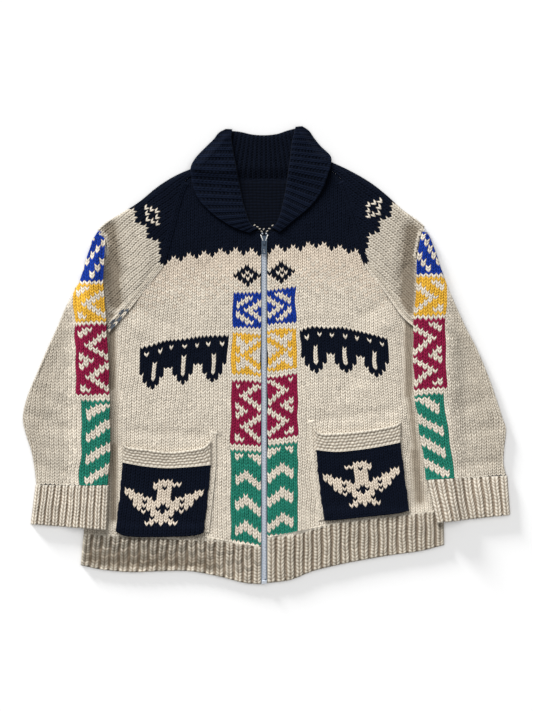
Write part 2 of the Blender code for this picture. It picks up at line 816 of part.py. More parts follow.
def pocket_height(y, foot_y):
    """Height of the front under a pocket, which rides up onto the hem's ribs at its foot."""
    return ON_FRONT + POCKET_RIDE * ease((foot_y + POCKET_RIDE_FROM - y) / POCKET_RIDE_LONG)


def pocket_columns():
    return shares_with_lands(POCKET_COLUMNS, POCKET_WIDTH)


def build_pocket(side):
    table = side.pocket
    across = pocket_columns()
    along = np.array(POCKET_SHARES)
    near = spread(smooth(table.mouth_base, SEAM_POINTS), across) - (0, GAP / 2)
    far = spread(smooth(table.foot, SEAM_POINTS), across)
    outer_edge = spread(smooth(table.outer, SEAM_POINTS), along)
    inner_edge = spread(smooth(table.inner, SEAM_POINTS), along)
    outer_edge[0], inner_edge[0] = near[0], near[-1]
    plan = patch(near, far, outer_edge, inner_edge, across, along)
    foot = min(p.y for p in table.foot)
    return panel(f"pocket_{side.name}", plan, pocket_height(plan[..., 1], foot), NAVY)


def build_pocket_band(side):
    """Garter-stitch band along a pocket's mouth, with its rows as low ridges."""
    table = side.pocket
    across = pocket_columns()
    shares, on_ridge = rib_shares(BAND_RIDGES)
    base = spread(smooth(table.mouth_base, SEAM_POINTS), across) + (0, GAP / 2)
    top = spread(smooth(table.mouth_top, SEAM_POINTS), across)
    plan = base[None] + shares[:, None, None] * (top - base)[None]
    slack = np.sin(np.pi * np.clip(across, 0, 1))[None] * shares[:, None] * BAND_SLACK
    rise = on_ridge[:, None] * np.ones(len(across))[None]
    rise[:, [0, -1]] = 0
    return panel(f"pocket_band_{side.name}", plan, ON_FRONT + slack, CREAM, rise)


# ---------------------------------------------------------------- zip


def box(name, low, high, colour, roughness=0.35, metallic=1.0, edge=0.0):
    """A block between two corners, its edges rounded by the given width."""
    low, high = np.array(low, float), np.array(high, float)
    bm = bmesh.new()
    bmesh.ops.create_cube(bm, size=1.0)
    bmesh.ops.scale(bm, vec=(high - low) * MM, verts=bm.verts)
    bmesh.ops.translate(bm, vec=(high + low) / 2 * MM, verts=bm.verts)
    mesh = bpy.data.meshes.new(name)
    bm.to_mesh(mesh)
    bm.free()
    made = add_object(name, mesh, colour, roughness, metallic)
    if edge:
        rounding = made.modifiers.new("rounding", "BEVEL")
        rounding.width = edge * MM
        rounding.segments = 1
    return made


def tool(name, low, high):
    """A block used only to join to or cut from another."""
    made = box(name, low, high, SILVER)
    bpy.data.collections["cowichan_cardigan"].objects.unlink(made)
    bpy.data.collections["cutters"].objects.link(made)
    made.hide_render = True
    made.display_type = "WIRE"
    return made


def combine(target, other, operation):
    change = target.modifiers.new(other.name, "BOOLEAN")
    change.operation = operation
    change.object = other
    change.solver = "EXACT"


def build_zip_half(side):
    """Tape and chain of one half: the tape thin at its edge, the chain raised beside it."""
    foot = ZIP_FOOT_RIGHT if side is RIGHT else ZIP_FOOT_LEFT
    tape = side.sign * np.array([GAP / 2, ZIP_HALF]) + ZIP_X
    chain = side.sign * np.array([GAP / 2, CHAIN_HALF]) + ZIP_X
    parting = side.sign * np.array([0.0, NECK_HALF + GAP]) + ZIP_X
    name = f"zip_{side.name}"
    made = box(name, (min(tape), foot, TAPE_BASE),
               (max(tape), TAPE_TOP_Y, TAPE_BASE + TAPE_THICK), SILVER)
    combine(made, tool(name + "_chain", (min(chain), foot + CHAIN_FOOT, TAPE_BASE + BITE),
                       (max(chain), CHAIN_TOP_Y, CHAIN_TOP)), "UNION")
    combine(made, tool(name + "_parting", (min(parting), ZIP_TOP - NECK_LONG - GAP, 0),
                       (max(parting), ZIP_TOP + CUTTER_REACH, CUTTER_REACH)), "DIFFERENCE")
    return made


def build_slider():
    x0, x1 = ZIP_X - SLIDER_HALF, ZIP_X + SLIDER_HALF
    made = box("zip_slider", (x0, SLIDER_LOW_Y, TOP_PLATE[0]), (x1, ZIP_TOP, TOP_PLATE[1]),
               STEEL_BLUE)
    base = tool("slider_base", (x0, SLIDER_LOW_Y, BASE_PLATE[0]), (x1, ZIP_TOP, BASE_PLATE[1]))
    neck = tool("slider_neck", (ZIP_X - NECK_HALF, ZIP_TOP - NECK_LONG, BASE_PLATE[0] + BITE),
                (ZIP_X + NECK_HALF, ZIP_TOP - BITE, TOP_PLATE[1] - BITE))
    arch = tool("slider_arch", (ZIP_X - ARCH_HALF, ARCH_LOW_Y, TOP_PLATE[1] - BITE),
                (ZIP_X + ARCH_HALF, ARCH_HIGH_Y, ARCH_TOP))
    window = tool("slider_window",
                  (ZIP_X - 2 * ARCH_HALF, ARCH_LOW_Y + ARCH_POST, TOP_PLATE[1]),
                  (ZIP_X + 2 * ARCH_HALF, ARCH_HIGH_Y - ARCH_POST, ARCH_TOP - ARCH_BAR))
    combine(made, neck, "UNION")
    combine(made, base, "UNION")
    combine(made, arch, "UNION")
    combine(made, window, "DIFFERENCE")
    return made


def build_pull():
    """Pull tab, with its origin on the axis of the bar that passes under the arch."""
    made = box("zip_pull", (-PULL_HALF, -PULL_LONG, -PULL_THICK / 2),
               (PULL_HALF, PULL_BAR, PULL_THICK / 2), STEEL_BLUE)
    eye = tool("pull_eye", (-PULL_EYE_HALF, -PULL_EYE_END, -PULL_THICK),
               (PULL_EYE_HALF, -PULL_BAR, PULL_THICK))
    slot = tool("pull_slot", (-PULL_SLOT_HALF, -PULL_SLOT_TO, -PULL_THICK),
                (PULL_SLOT_HALF, -PULL_SLOT_FROM, PULL_THICK))
    for cutter in (eye, slot):
        cutter.parent = made
        combine(made, cutter, "DIFFERENCE")
    made.location = (ZIP_X * MM, PULL_AXIS_Y * MM, PULL_AXIS_Z * MM)
    return made


def build_zip_ends():
    for side in (RIGHT, LEFT):
        near = ZIP_X + side.sign * (NECK_HALF + GAP)
        far = ZIP_X + side.sign * ZIP_HALF
        box(f"zip_stop_{side.name}", (min(near, far), STOP_LOW_Y, TAPE_BASE),
            (max(near, far), STOP_HIGH_Y, CHAIN_TOP), SILVER, edge=STOP_ROUND)
    box("zip_pin_box", (ZIP_X - PIN_BOX_HALF, ZIP_FOOT_RIGHT, TAPE_BASE + TAPE_THICK + GAP),
        (ZIP_X + PIN_BOX_HALF, ZIP_FOOT_RIGHT + PIN_BOX_LONG, PIN_BOX_TOP), SILVER,
        edge=PIN_BOX_ROUND)


def main():
    clear_scene()
    for name in ("cowichan_cardigan", "cutters"):
        collection = bpy.data.collections.new(name)
        bpy.context.scene.collection.children.link(collection)
    build_back()
    build_hem_back()
    build_collar_back()
    for side in (RIGHT, LEFT):
        build_front(side)
        build_hem(side)
        build_sleeve_upper(side)
        build_sleeve_lower(side)
        build_cuff(side)
        build_lapel(side)
        build_pocket(side)
        build_pocket_band(side)
        build_zip_half(side)
    build_slider()
    build_pull()
    build_zip_ends()


main()
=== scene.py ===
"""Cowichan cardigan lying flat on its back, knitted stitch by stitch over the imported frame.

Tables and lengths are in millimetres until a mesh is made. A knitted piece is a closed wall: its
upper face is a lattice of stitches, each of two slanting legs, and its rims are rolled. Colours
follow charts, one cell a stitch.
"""

import math
from collections import namedtuple

import bpy
import numpy as np
from bpy.props import FloatProperty, FloatVectorProperty, PointerProperty
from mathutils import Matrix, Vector
from mathutils.geometry import delaunay_2d_cdt


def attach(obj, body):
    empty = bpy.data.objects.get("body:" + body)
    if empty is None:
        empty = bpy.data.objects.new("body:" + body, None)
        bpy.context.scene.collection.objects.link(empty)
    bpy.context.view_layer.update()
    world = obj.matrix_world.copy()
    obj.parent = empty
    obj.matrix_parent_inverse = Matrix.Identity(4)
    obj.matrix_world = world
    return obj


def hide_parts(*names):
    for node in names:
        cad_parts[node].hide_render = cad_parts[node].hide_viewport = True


bl_info = {
    "name": "Cowichan Cardigan",
    "version": (1, 0, 0),
    "blender": (4, 5, 0),
    "location": "3D View > Sidebar > Cardigan",
    "description": "Knits a zip cardigan with a shawl collar that lies flat",
    "category": "Object",
}

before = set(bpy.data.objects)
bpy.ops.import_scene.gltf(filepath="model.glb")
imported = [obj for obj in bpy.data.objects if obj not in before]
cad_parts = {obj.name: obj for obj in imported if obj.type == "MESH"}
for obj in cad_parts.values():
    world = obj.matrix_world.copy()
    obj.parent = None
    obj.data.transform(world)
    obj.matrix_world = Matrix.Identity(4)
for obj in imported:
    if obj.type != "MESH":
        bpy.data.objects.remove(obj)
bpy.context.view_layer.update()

MM = 0.001
# One layer of knitting, the air between two layers, and the heights that follow from them
WALL = 5.0
GAP = 0.3
FOLD = WALL + GAP / 2
FRONT_BASE = WALL + GAP
ON_FRONT = FRONT_BASE + WALL + GAP
DOUBLE = 2 * WALL + GAP
# How far a sleeve lies level past the body's edge, the width of its drop and the least width
SHELF_MARGIN = 7.0
SLEEVE_DROP = 30.0
LEAST_DROP = 4.0
# The zip's middle, the half width between the fronts and the zip's upper end
ZIP_X = -3.5
ZIP_GAP = 4.9
ZIP_TOP = 190.0
# Widths of a rolled fold and a rolled rim, the rim's fall, and where double cloth is hollow
FOLD_ROLL = 9.0
RIM_ROLL = 4.5
RIM_FALL = 1.8
CAVITY_SHARE = 0.3
# Painted shade in creases: the yarn's colour darkens by a crease's depth squared and to the fourth
# power, down to a least share, and this painted shade is tinted warm
CREASE_SHADE = 0.010
VALLEY_SHADE = 0.0007
DARKEST_SHADE = 0.42
SHADE_WARMTH = (0.92, 1.0, 1.1)
# Half the width of a raised seam and its thickness
BRAID_HALF = 5.1
BRAID_THICK = 3.3

Point = namedtuple("Point", "x y")
SleeveRow = namedtuple("SleeveRow", "inner_x inner_y outer_x outer_y perch shelf_x")
CollarRow = namedtuple("CollarRow", "fold_x fold_y edge_x edge_y perch droop")
Pocket = namedtuple("Pocket", "mouth_top mouth_base foot outer inner")
Crease = namedtuple("Crease", "x0 y0 x1 y1 width rise")
Side = namedtuple(
    "Side",
    "name sign raglan cap_folds side_seam hem_line hem_edge sleeve cuff_top cuff_end lapel pocket"
    " yoke_line sleeve_rows",
)


def rows_of(kind, *rows):
    """Rows of a table, each with the names of its kind."""
    return tuple(kind(*row) for row in rows)


# ---- tables of the garment

RAGLAN_RIGHT = rows_of(
    Point, (-104, 290), (-122, 284), (-135, 270), (-144, 244), (-151, 216), (-160, 182),
    (-170, 148), (-186, 126), (-202, 106), (-218, 85), (-230, 70), (-254, 44), (-279, 20),
)
RAGLAN_LEFT = rows_of(
    Point, (97, 297), (112, 288), (124, 272), (133, 246), (144, 214), (153, 181), (162, 148),
    (185, 118), (201, 96), (223, 65), (250, 43), (279, 20),
)
CAP_FOLDS_RIGHT = rows_of(
    Point, (-102, 304), (-140, 289), (-172, 270), (-204, 244), (-234, 225), (-257, 211),
    (-270, 199), (-256.6, 189), (-255.6, 172), (-257, 159), (-268, 118), (-277, 56), (-279, 21),
)
CAP_FOLDS_LEFT = rows_of(
    Point, (99, 310), (130, 296), (165, 276), (192, 255), (217, 232), (240, 216), (253, 205),
    (245, 190), (241.5, 172), (238.8, 159), (254, 118), (275, 56), (279, 21),
)
SIDE_SEAM_RIGHT = rows_of(Point, (-292, -285), (-288, -180), (-283, -70), (-279, 20))
SIDE_SEAM_LEFT = rows_of(Point, (283, -248), (283, -150), (281, -60), (279, 20))
HEM_LINE_RIGHT = rows_of(
    Point, (-292, -285), (-241, -290), (-170, -290.5), (-102, -291), (-57, -300),
    (ZIP_X - ZIP_GAP, -307),
)
HEM_LINE_LEFT = rows_of(
    Point, (283, -248), (228, -255), (160, -263), (94, -272), (47, -287), (ZIP_X + ZIP_GAP, -292),
)
HEM_EDGE_RIGHT = rows_of(
    Point, (-297, -336), (-266, -343), (-218, -347.5), (-170, -346), (-122, -346), (-74, -355),
    (-34, -365), (ZIP_X - ZIP_GAP, -366.8),
)
HEM_EDGE_LEFT = rows_of(
    Point, (284, -304), (245, -314), (202, -320), (160, -327), (119, -335), (74, -346), (38, -360),
    (ZIP_X + ZIP_GAP, -365),
)
SLEEVE_RIGHT = rows_of(
    SleeveRow, (-262, 199, -270, 197, 0.0, -264), (-264, 191.5, -275, 188.5, 0.0, -264),
    (-257.6, 184, -279, 182, 3.5, -259), (-256.8, 172, -282, 171, 7.5, -258),
    (-258, 158, -287, 157, 11.0, -262), (-260, 121, -299, 118, 11.0, -271),
    (-257, 80, -319, 80, 11.0, -277), (-255, 46, -334, 45, 11.0, -281),
    (-253, 10, -350, 10, 11.0, -282), (-251, -30, -367, -30, 11.0, -284),
    (-250, -66, -382, -66, 11.0, -286), (-249, -101, -389.6, -100, 11.0, -287),
    (-249, -127, -385, -126, 11.0, -288), (-249, -157, -376, -154, 11.0, -289),
    (-251, -182, -371, -181, 11.0, -290), (-253, -207, -368, -207, 11.0, -291),
)
SLEEVE_LEFT = rows_of(
    SleeveRow, (250, 197.5, 257.5, 195, 0.0, 250), (246.5, 188, 262, 186, 3.5, 247),
    (242.5, 172, 268, 171, 7.5, 244), (240, 158, 273, 157, 11.0, 245),
    (239, 121, 286, 118, 11.0, 257), (235.5, 80, 302, 80, 11.0, 272),
    (234, 46, 318, 45, 11.0, 281), (234, 10, 336, 10, 11.0, 282), (234, -30, 353, -30, 11.0, 283),
    (236, -66, 366, -66, 11.0, 284), (240, -101, 377, -100, 11.0, 284),
    (244, -127, 383, -120, 11.0, 284), (249, -157, 380, -150, 11.0, 285),
    (252, -180, 379, -174, 11.0, 285), (254, -198, 383, -192, 12.4, 286),
)
CUFF_TOP_RIGHT = SleeveRow(-252, -208, -369, -208, 11.0, -291)
CUFF_END_RIGHT = SleeveRow(-255, -280, -377, -271, 11.0, -293)
CUFF_TOP_LEFT = SleeveRow(256, -199, 385, -193, 12.4, 286)
CUFF_END_LEFT = SleeveRow(272, -269, 389.6, -256, 12.4, 286)
LAPEL_RIGHT = rows_of(
    CollarRow, (-14, 202, -27, 195, 5.5, 0.0), (-23, 207, -44, 200, 5.5, 0.0),
    (-28, 215, -63, 209, 5.5, 0.0), (-32, 227, -86, 225, 5.5, 0.0),
    (-37, 243, -106, 245, 5.5, 0.0), (-40, 260, -116, 264, 5.5, 0.0),
    (-44, 278, -120, 283, 7.5, 0.0), (-47, 296, -121, 299, 12.3, 2.0),
    (-51, 315, -113, 315, 12.3, 9.0), (-54, 332, -96, 333, 12.3, 13.5),
    (-56, 345, -84, 345, 12.3, 13.5), (-55.5, 354, -76, 355, 12.0, 13.2),
    (-54.5, 360, -65, 361, 10.5, 12.0),
)
LAPEL_LEFT = rows_of(
    CollarRow, (9, 203, 21, 196, 5.5, 0.0), (16, 211, 31, 204, 5.5, 0.0),
    (21, 223, 41, 213, 5.5, 0.0), (25, 238, 54, 223, 5.5, 0.0), (28, 253, 68, 235, 5.5, 0.0),
    (31, 268, 81, 250, 6.0, 0.0), (33, 283, 91, 268, 9.0, 0.0), (35, 298, 98, 287, 12.3, 0.0),
    (37, 312, 103, 304, 12.3, 3.0), (38.5, 325, 102, 318, 12.3, 9.0),
    (40, 338, 86, 334, 12.3, 13.5), (43, 350, 75, 348, 12.3, 13.5),
    (44.5, 358, 68, 358, 12.0, 13.2), (46.5, 364, 57, 365.5, 10.5, 12.0),
)
BACK_NECK = rows_of(
    Point, (-104, 290), (-80, 284), (-50, 279), (0, 277.5), (45, 279), (75, 286), (97, 297),
)
COLLAR_SEAM_ENDS = (-76, 68)
COLLAR_FOLD = rows_of(
    Point, (-56, 358), (-40, 356), (-22, 352), (-2, 351), (17, 353), (32, 358), (47, 362),
)
POCKET_RIGHT = Pocket(
    mouth_top=rows_of(Point, (-229, -140), (-221, -147), (-190, -151), (-156, -155), (-125, -152),
                      (-101, -147), (-89, -136)),
    mouth_base=rows_of(Point, (-230, -172), (-196, -178), (-159, -181), (-120, -179), (-89, -176)),
    foot=rows_of(Point, (-241, -282), (-222, -290), (-170, -291), (-118, -289), (-100, -284)),
    outer=rows_of(Point, (-230, -172), (-233, -210), (-241, -282)),
    inner=rows_of(Point, (-89, -176), (-93, -220), (-100, -284)),
)
POCKET_LEFT = Pocket(
    mouth_top=rows_of(Point, (214, -107), (204, -112), (176, -118), (146, -122), (112, -125),
                      (86, -125), (77, -118)),
    mouth_base=rows_of(Point, (214, -140), (184, -146), (154, -151), (112, -155), (79, -152)),
    foot=rows_of(Point, (228, -249), (206, -254), (160, -259), (112, -264), (92, -265)),
    outer=rows_of(Point, (214, -140), (220, -190), (228, -249)),
    inner=rows_of(Point, (79, -152), (84, -205), (92, -265)),
)
# Lowest points of the yoke's teeth, from beyond the sleeve to the zip
YOKE_LINE_RIGHT = rows_of(
    Point, (-300, 100), (-205, 128), (-164, 143.6), (-135, 150), (-110, 155), (-85, 158),
    (-62, 159.6), (-35, 159.6), (ZIP_X, 159),
)
YOKE_LINE_LEFT = rows_of(
    Point, (300, 95), (205, 134), (154, 154.7), (129, 162.7), (105, 167.5), (81, 170.7),
    (55, 167.5), (30, 165), (ZIP_X, 162),
)
RIGHT = Side("right", -1, RAGLAN_RIGHT, CAP_FOLDS_RIGHT, SIDE_SEAM_RIGHT, HEM_LINE_RIGHT,
             HEM_EDGE_RIGHT, SLEEVE_RIGHT, CUFF_TOP_RIGHT, CUFF_END_RIGHT, LAPEL_RIGHT,
             POCKET_RIGHT, YOKE_LINE_RIGHT, 81)
LEFT = Side("left", 1, RAGLAN_LEFT, CAP_FOLDS_LEFT, SIDE_SEAM_LEFT, HEM_LINE_LEFT,
            HEM_EDGE_LEFT, SLEEVE_LEFT, CUFF_TOP_LEFT, CUFF_END_LEFT, LAPEL_LEFT,
            POCKET_LEFT, YOKE_LINE_LEFT, 79)

# Soft troughs (below 0) and ridges of the cloth as it lies; the deepest trough at each place also
# darkens the yarn's colour as painted shade
CREASES = rows_of(
    Crease, (-252, 202, -244, 132, 20, -5.4), (-247, 128, -243, 84, 16, -6.2),
    (233, 198, 226, 128, 20, -5.4), (228, 124, 226, 84, 16, -6.4), (-326, 54, -352, -24, 26, -2.5),
    (-354, -30, -376, -166, 34, -2.7), (306, 66, 332, -14, 24, -2.3),
    (336, -22, 366, -168, 34, -2.6), (-186, 226, -200, 116, 15, 1.8),
    (166, 232, 182, 122, 14, 1.6), (-140, 280, -165, 262, 14, 1.2), (128, 284, 160, 262, 12, 1.0),
    (-247, 60, -246, -52, 10, -5.4), (-243, -60, -242, -140, 10, -4.0),
    (-226, 66, -232, -58, 16, -1.4), (212, 84, 214, -60, 18, -1.6), (229, 92, 227, 14, 10, -6.4),
    (227, 6, 227, -64, 10, -5.6), (229, -72, 238, -150, 10, -4.6),
    (237, -156, 244, -232, 14, -5.0), (-243, -146, -244, -262, 9, -5.2),
    (-218, 84, -150, 46, 11, -1.3), (-212, 44, -168, 22, 9, 1.2), (205, 96, 152, 62, 10, -1.4),
    (203, 52, 160, 30, 10, 1.1), (-58, 124, -128, 22, 26, 1.0), (52, 118, 112, 6, 22, 1.1),
    (-96, -6, -84, -112, 20, 0.9), (150, -30, 92, -92, 16, -0.9),
    (-216, -122, -104, -128, 9, -1.5), (88, -100, 206, -88, 10, -1.4),
    (-76, -136, -82, -276, 10, -1.2), (64, -122, 74, -258, 9, -1.1),
    (-287, 122, -312, -52, 24, 2.4), (272, 116, 304, -48, 22, 2.2),
    (-386, -96, -318, -116, 11, -1.6), (-372, -56, -322, -82, 10, -1.0),
    (-300, -84, -288, -188, 13, -1.5), (-372, -176, -322, -186, 8, -1.3),
    (382, -112, 322, -126, 11, -1.5), (366, -64, 306, -92, 10, -0.9),
    (280, -92, 300, -182, 12, -1.4), (378, -168, 318, -176, 8, -1.5),
    (-340, -215, -345, -270, 12, 1.0), (330, -210, 342, -258, 13, 1.0),
    (-292, -328, -92, -338, 28, -4.4), (-262, -300, -266, -338, 14, -1.2),
    (-178, -298, -172, -342, 15, 1.0), (-60, -306, -46, -358, 13, -1.2),
    (112, -276, 104, -336, 14, 1.1), (206, -262, 214, -314, 13, -1.1),
    (40, -296, 30, -350, 11, 1.2), (-208, -190, -132, -262, 16, -0.9),
    (196, -168, 118, -236, 15, -0.8), (-228, -180, -236, -276, 7, 1.0),
    (80, -160, 90, -258, 6, 1.0),
)

# ---- stitches

# Shares of a stitch's width and of its row's height at which the lattice has lines
ACROSS = (0.0, 0.17, 0.33, 0.5, 0.67, 0.83)
ALONG = (0.0, 0.33, 0.67)
# Rise of a stitch's legs in rows, swelling of a deep ribbing's knit columns, slow and small
# unevenness of hand knitting, and the rows of a welt or cuff
SLANT = 0.95
DEEP_SWELL = 1.66
SWAY = 0.8
UNEVEN = 0.14
WELT_ROWS = 12
# Steps from a rim down to the underside: turn of a fold, and a rim's inset and share of its fall
RIM_STEPS = ((30, 0.1, 0.45), (60, 0.3, 0.82), (90, 0.7, 1.0))
# Widths and heights of stitches where they aren't those of the fronts
SLEEVE_STITCH, SLEEVE_ROW = 7.7, 5.05
BACK_STITCH = 6.8
INSIDE_STITCH, INSIDE_ROW = 6.4, 4.9
BRAID_ROW = 5.3
KNIT, PURL, SEED, ROPE = range(4)
# A front's rows up to the yoke and above it, its columns, and its stitches' width at both ends
BODY_ROWS = 92
ROWS_ABOVE = 32
BODY_COLUMNS = 43
STITCH_AT_HEM = 6.95
STITCH_AT_YOKE = 6.25
# Yarns of the charts; the four after rose are cream and navy with painted shade and light
CREAM, NAVY, BLUE, YELLOW, CRIMSON, GREEN, GREY, ROSE, GREYER_SHADED_CREAM, DARKER_CREAM, DEEP_SHADED_CREAM, LIT_NAVY = range(12)

# Edges are lines with how they end: fold, rim or seam. Lie and thick are heights, as one number
# or by place, kind and chart give a stitch and a yarn by column and row, and under is the chart
# of the underside
Cloth = namedtuple(
    "Cloth", "name columns rows place edges lie thick kind chart relief seed clip rib_rise under",
    defaults=(False, 0.0, None))


def smooth(table, count):
    """Evenly spaced points on a smooth curve through a table's points."""
    knots = np.array([(p[0], p[1]) for p in table], float)
    dense = along(knots, np.linspace(0, 1, 16 * len(knots)))
    run = np.concatenate([[0], np.cumsum(np.linalg.norm(np.diff(dense, axis=0), axis=1))])
    at = np.linspace(0, run[-1], count)
    return np.column_stack([np.interp(at, run, dense[:, k]) for k in (0, 1)])


def along(table, share):
    """Values at shares of the way along a smooth curve through a table's rows."""
    knots = np.asarray(table, float)
    padded = np.vstack([2 * knots[0] - knots[1], knots, 2 * knots[-1] - knots[-2]])
    at = np.clip(share, 0, 1) * (len(knots) - 1)
    i = np.minimum(at.astype(int), len(knots) - 2)
    t = (at - i)[..., None]
    a, b, c, d = padded[i], padded[i + 1], padded[i + 2], padded[i + 3]
    return b + 0.5 * t * (c - a + t * (2 * a - 5 * b + 4 * c - d + t * (3 * (b - c) + d - a)))


def at_share(line, share):
    """Points at shares of an evenly spaced polyline."""
    line = np.asarray(line, float)
    at = np.clip(share, 0, 1) * (len(line) - 1)
    return np.stack([np.interp(at, np.arange(len(line)), line[:, k]) for k in (0, 1)], -1)


def wobbled(line, size, phase):
    """A line that wanders a little between its ends, as hand sewing leaves it."""
    t = np.linspace(0, 1, len(line))
    swing = size * np.sin(np.pi * t) ** 0.5
    return line + np.column_stack([swing * np.sin(13 * t + phase) * np.sin(29 * t),
                                   swing * np.sin(17 * t + 2 * phase)])


def ease(share):
    """A smooth step from 0 to 1."""
    share = np.clip(share, 0, 1)
    return share * share * (3 - 2 * share)


def rolled(share):
    """Height of a rolled rim, from 0 at the rim to 1 where it is full."""
    share = np.clip(share, 0, 1)
    return np.sqrt(1 - (1 - share) ** 2)


def drift(x, y, seed, size):
    """Slow sideways wandering of the rows and columns of hand knitting."""
    rng = np.random.default_rng(seed)
    dx, dy = np.zeros_like(x), np.zeros_like(x)
    for _ in range(6):
        wave = rng.uniform(0.03, 0.14, 2) * rng.choice([-1, 1], 2)
        phase = rng.uniform(0, 6.28, 2)
        dx += np.sin(wave[0] * x + wave[1] * y + phase[0])
        dy += np.sin(wave[1] * x - wave[0] * y + phase[1])
    return x + size * dx / 2, y + size * dy / 2


def within(outline, x, y):
    """True for the points that lie inside a closed outline."""
    inside = np.zeros(x.shape, bool)
    for (x0, y0), (x1, y1) in zip(outline, np.roll(outline, -1, axis=0)):
        if y0 == y1:
            continue
        crosses = (y0 > y) != (y1 > y)
        inside ^= crosses & (x < x0 + (y - y0) * (x1 - x0) / (y1 - y0))
    return inside


def distance(line, x, y):
    """Distance of points from a polyline."""
    best = np.full(x.shape, 1e9)
    for (x0, y0), (x1, y1) in zip(line, line[1:]):
        dx, dy = x1 - x0, y1 - y0
        size = dx * dx + dy * dy
        if size == 0:
            continue
        t = np.clip(((x - x0) * dx + (y - y0) * dy) / size, 0, 1)
        np.minimum(best, (x - x0 - t * dx) ** 2 + (y - y0 - t * dy) ** 2, out=best)
    return np.sqrt(best)


def clip_rows(x, y, outline):
    """Moves the points of each row that lie beyond the outline to where the row crosses it.

    Returns the rows kept, the new points, and the column that each point has moved to.
    """
    inside = within(outline, x, y)
    keep = inside.any(axis=1)
    x, y, inside = x[keep], y[keep], inside[keep]
    rows = np.arange(len(x))
    last_column = x.shape[1] - 1
    first = inside.argmax(axis=1)
    last = last_column - inside[:, ::-1].argmax(axis=1)
    ends = []
    for held, step in ((first, -1), (last, 1)):
        out = np.clip(held + step, 0, last_column)
        ax, ay = x[rows, held].copy(), y[rows, held].copy()
        bx, by = x[rows, out].copy(), y[rows, out].copy()
        for _ in range(9):
            mx, my = (ax + bx) / 2, (ay + by) / 2
            good = within(outline, mx, my)
            ax, ay = np.where(good, mx, ax), np.where(good, my, ay)
            bx, by = np.where(good, bx, mx), np.where(good, by, my)
        x[rows, out], y[rows, out] = ax, ay
        ends.append(out)
    low, high = ends
    column = np.clip(np.arange(last_column + 1)[None], low[:, None], high[:, None])
    return keep, x[rows[:, None], column], y[rows[:, None], column], column


def creased(x, y):
    """Height that the creases add to the cloth's upper face, and that of the deepest one alone."""
    rise, deepest = np.zeros_like(x), np.zeros_like(x)
    for c in CREASES:
        near = distance(((c.x0, c.y0), (c.x1, c.y1)), x, y) / c.width
        one = c.rise * np.exp(-near * near)
        rise, deepest = rise + one, np.minimum(deepest, one)
    depth = bpy.context.scene.cardigan.crease_depth
    return rise * depth, deepest * depth


def swayed(u, v, columns, rows, phase, size=1.0):
    """Places in a ribbing whose columns wander and whose stitches differ in length."""
    held = size * np.sin(np.pi * np.clip(v / rows, 0, 1)) ** 0.5
    inside = np.clip(np.minimum(u, columns - u) / 2, 0, 1)
    side = 0.05 * np.sin(0.6 * v + 1.9 * np.sin(0.5 * u + phase)) + 0.06 * np.sin(0.7 * u + phase)
    long = 0.26 * np.sin(2.6 * u + 0.5 * v + phase) + 0.14 * np.sin(1.1 * u - 0.9 * v)
    return u + side * held * inside, v + long * held


def xy(point):
    """X and Y of an array of points."""
    return point[..., 0], point[..., 1]


def between(near, far, share):
    """X and Y at shares of the way from some points to others."""
    return xy(near + share[..., None] * (far - near))


def four_edges(near, far, ends):
    """Edges of a piece between two lines that run the same way, each with how it ends."""
    lines = (near, np.array([near[-1], far[-1]]), far[::-1], np.array([far[0], near[0]]))
    return list(zip(lines, ends.split()))


def scalloped(u, v, rows):
    """Places in a ribbing whose sunk columns end a little short of its lower edge."""
    sunk = (u % 2 > 1) * np.sin(np.pi * (u % 1)) ** 2
    return v + 0.34 * sunk * np.clip(1 - v / rows, 0, 1) ** 5


def rib_run(u, swell=1.24):
    """Place of a column once the knit ones of a ribbing swell and the purl ones shrink."""
    pair, part = np.floor(u / 2) * 2, u % 2
    return pair + np.where(part < 1, part * swell, swell + (part - 1) * (2 - swell))


def stitch_relief(kind, u, v, row):
    """Height of the yarn in a stitch, from 0 in its hollows to 1 on its crowns."""
    a, b = u % 1.0, v % 1.0
    over = np.sin(np.pi * np.clip(b, 0, 1)) ** 0.7
    leg = np.sin(np.pi * ((2 * a) % 1.0)) ** 0.6
    leg = np.where(np.abs(a - 0.5) < 0.02, 0.32, leg)
    vee = (0.32 + 0.68 * over * (1.14 - 0.28 * b)) * (0.12 + 0.88 * leg)
    bump = (0.25 + 0.75 * np.sin(np.pi * a) ** 0.6) * np.sin(np.pi * b) ** 0.8
    rope = (0.2 + 0.8 * over * (1.14 - 0.28 * b)) * np.abs(np.sin(2 * np.pi * a)) ** 0.6
    shift = (a + 0.5 * (row % 2) + 0.22 * b) % 1.0
    nub = (0.05 + 0.95 * np.sin(np.pi * shift) ** 0.7) * np.sin(np.pi * b) ** 0.6
    return np.choose(kind, [vee, bump, nub, rope])


def palette():
    """Yarn colours in the order of the charts' numbers, some shifted for painted shade and light.
    """
    s = bpy.context.scene.cardigan
    cream = np.array(s.cream)
    return np.array([cream, s.navy, s.blue, s.yellow, s.crimson, s.green, s.grey,
                     # Rose, then a greyer cream darkened as painted shade, a darker cream (painted
                     # shade on sleeves and caps), a cream in deep painted shade, and the navy
                     # lightened as painted light
                     cream * (1.0, 0.955, 0.93), cream * (0.81, 0.805, 0.79),
                     cream * (0.85, 0.85, 0.845), cream * (0.58, 0.58, 0.57),
                     np.array(s.navy) * 1.5])


def cells_of(chart, columns, rows, seed):
    """Colour of every stitch: its chart's yarn, a little lighter or darker than its neighbours."""
    c, r = np.meshgrid(np.arange(columns), np.arange(rows))
    rng = np.random.default_rng(seed)
    tone = 1 + 0.045 * rng.standard_normal((rows, columns))[..., None]
    streak = 1 + 0.02 * rng.standard_normal((rows, 1))[..., None]
    return palette()[chart(c, r)] * tone * streak


def area_of(ring):
    """Area inside a closed ring of points, below 0 if it runs clockwise."""
    x, y = ring[:, 0], ring[:, 1]
    return 0.5 * np.sum(x * np.roll(y, -1) - np.roll(x, -1) * y)


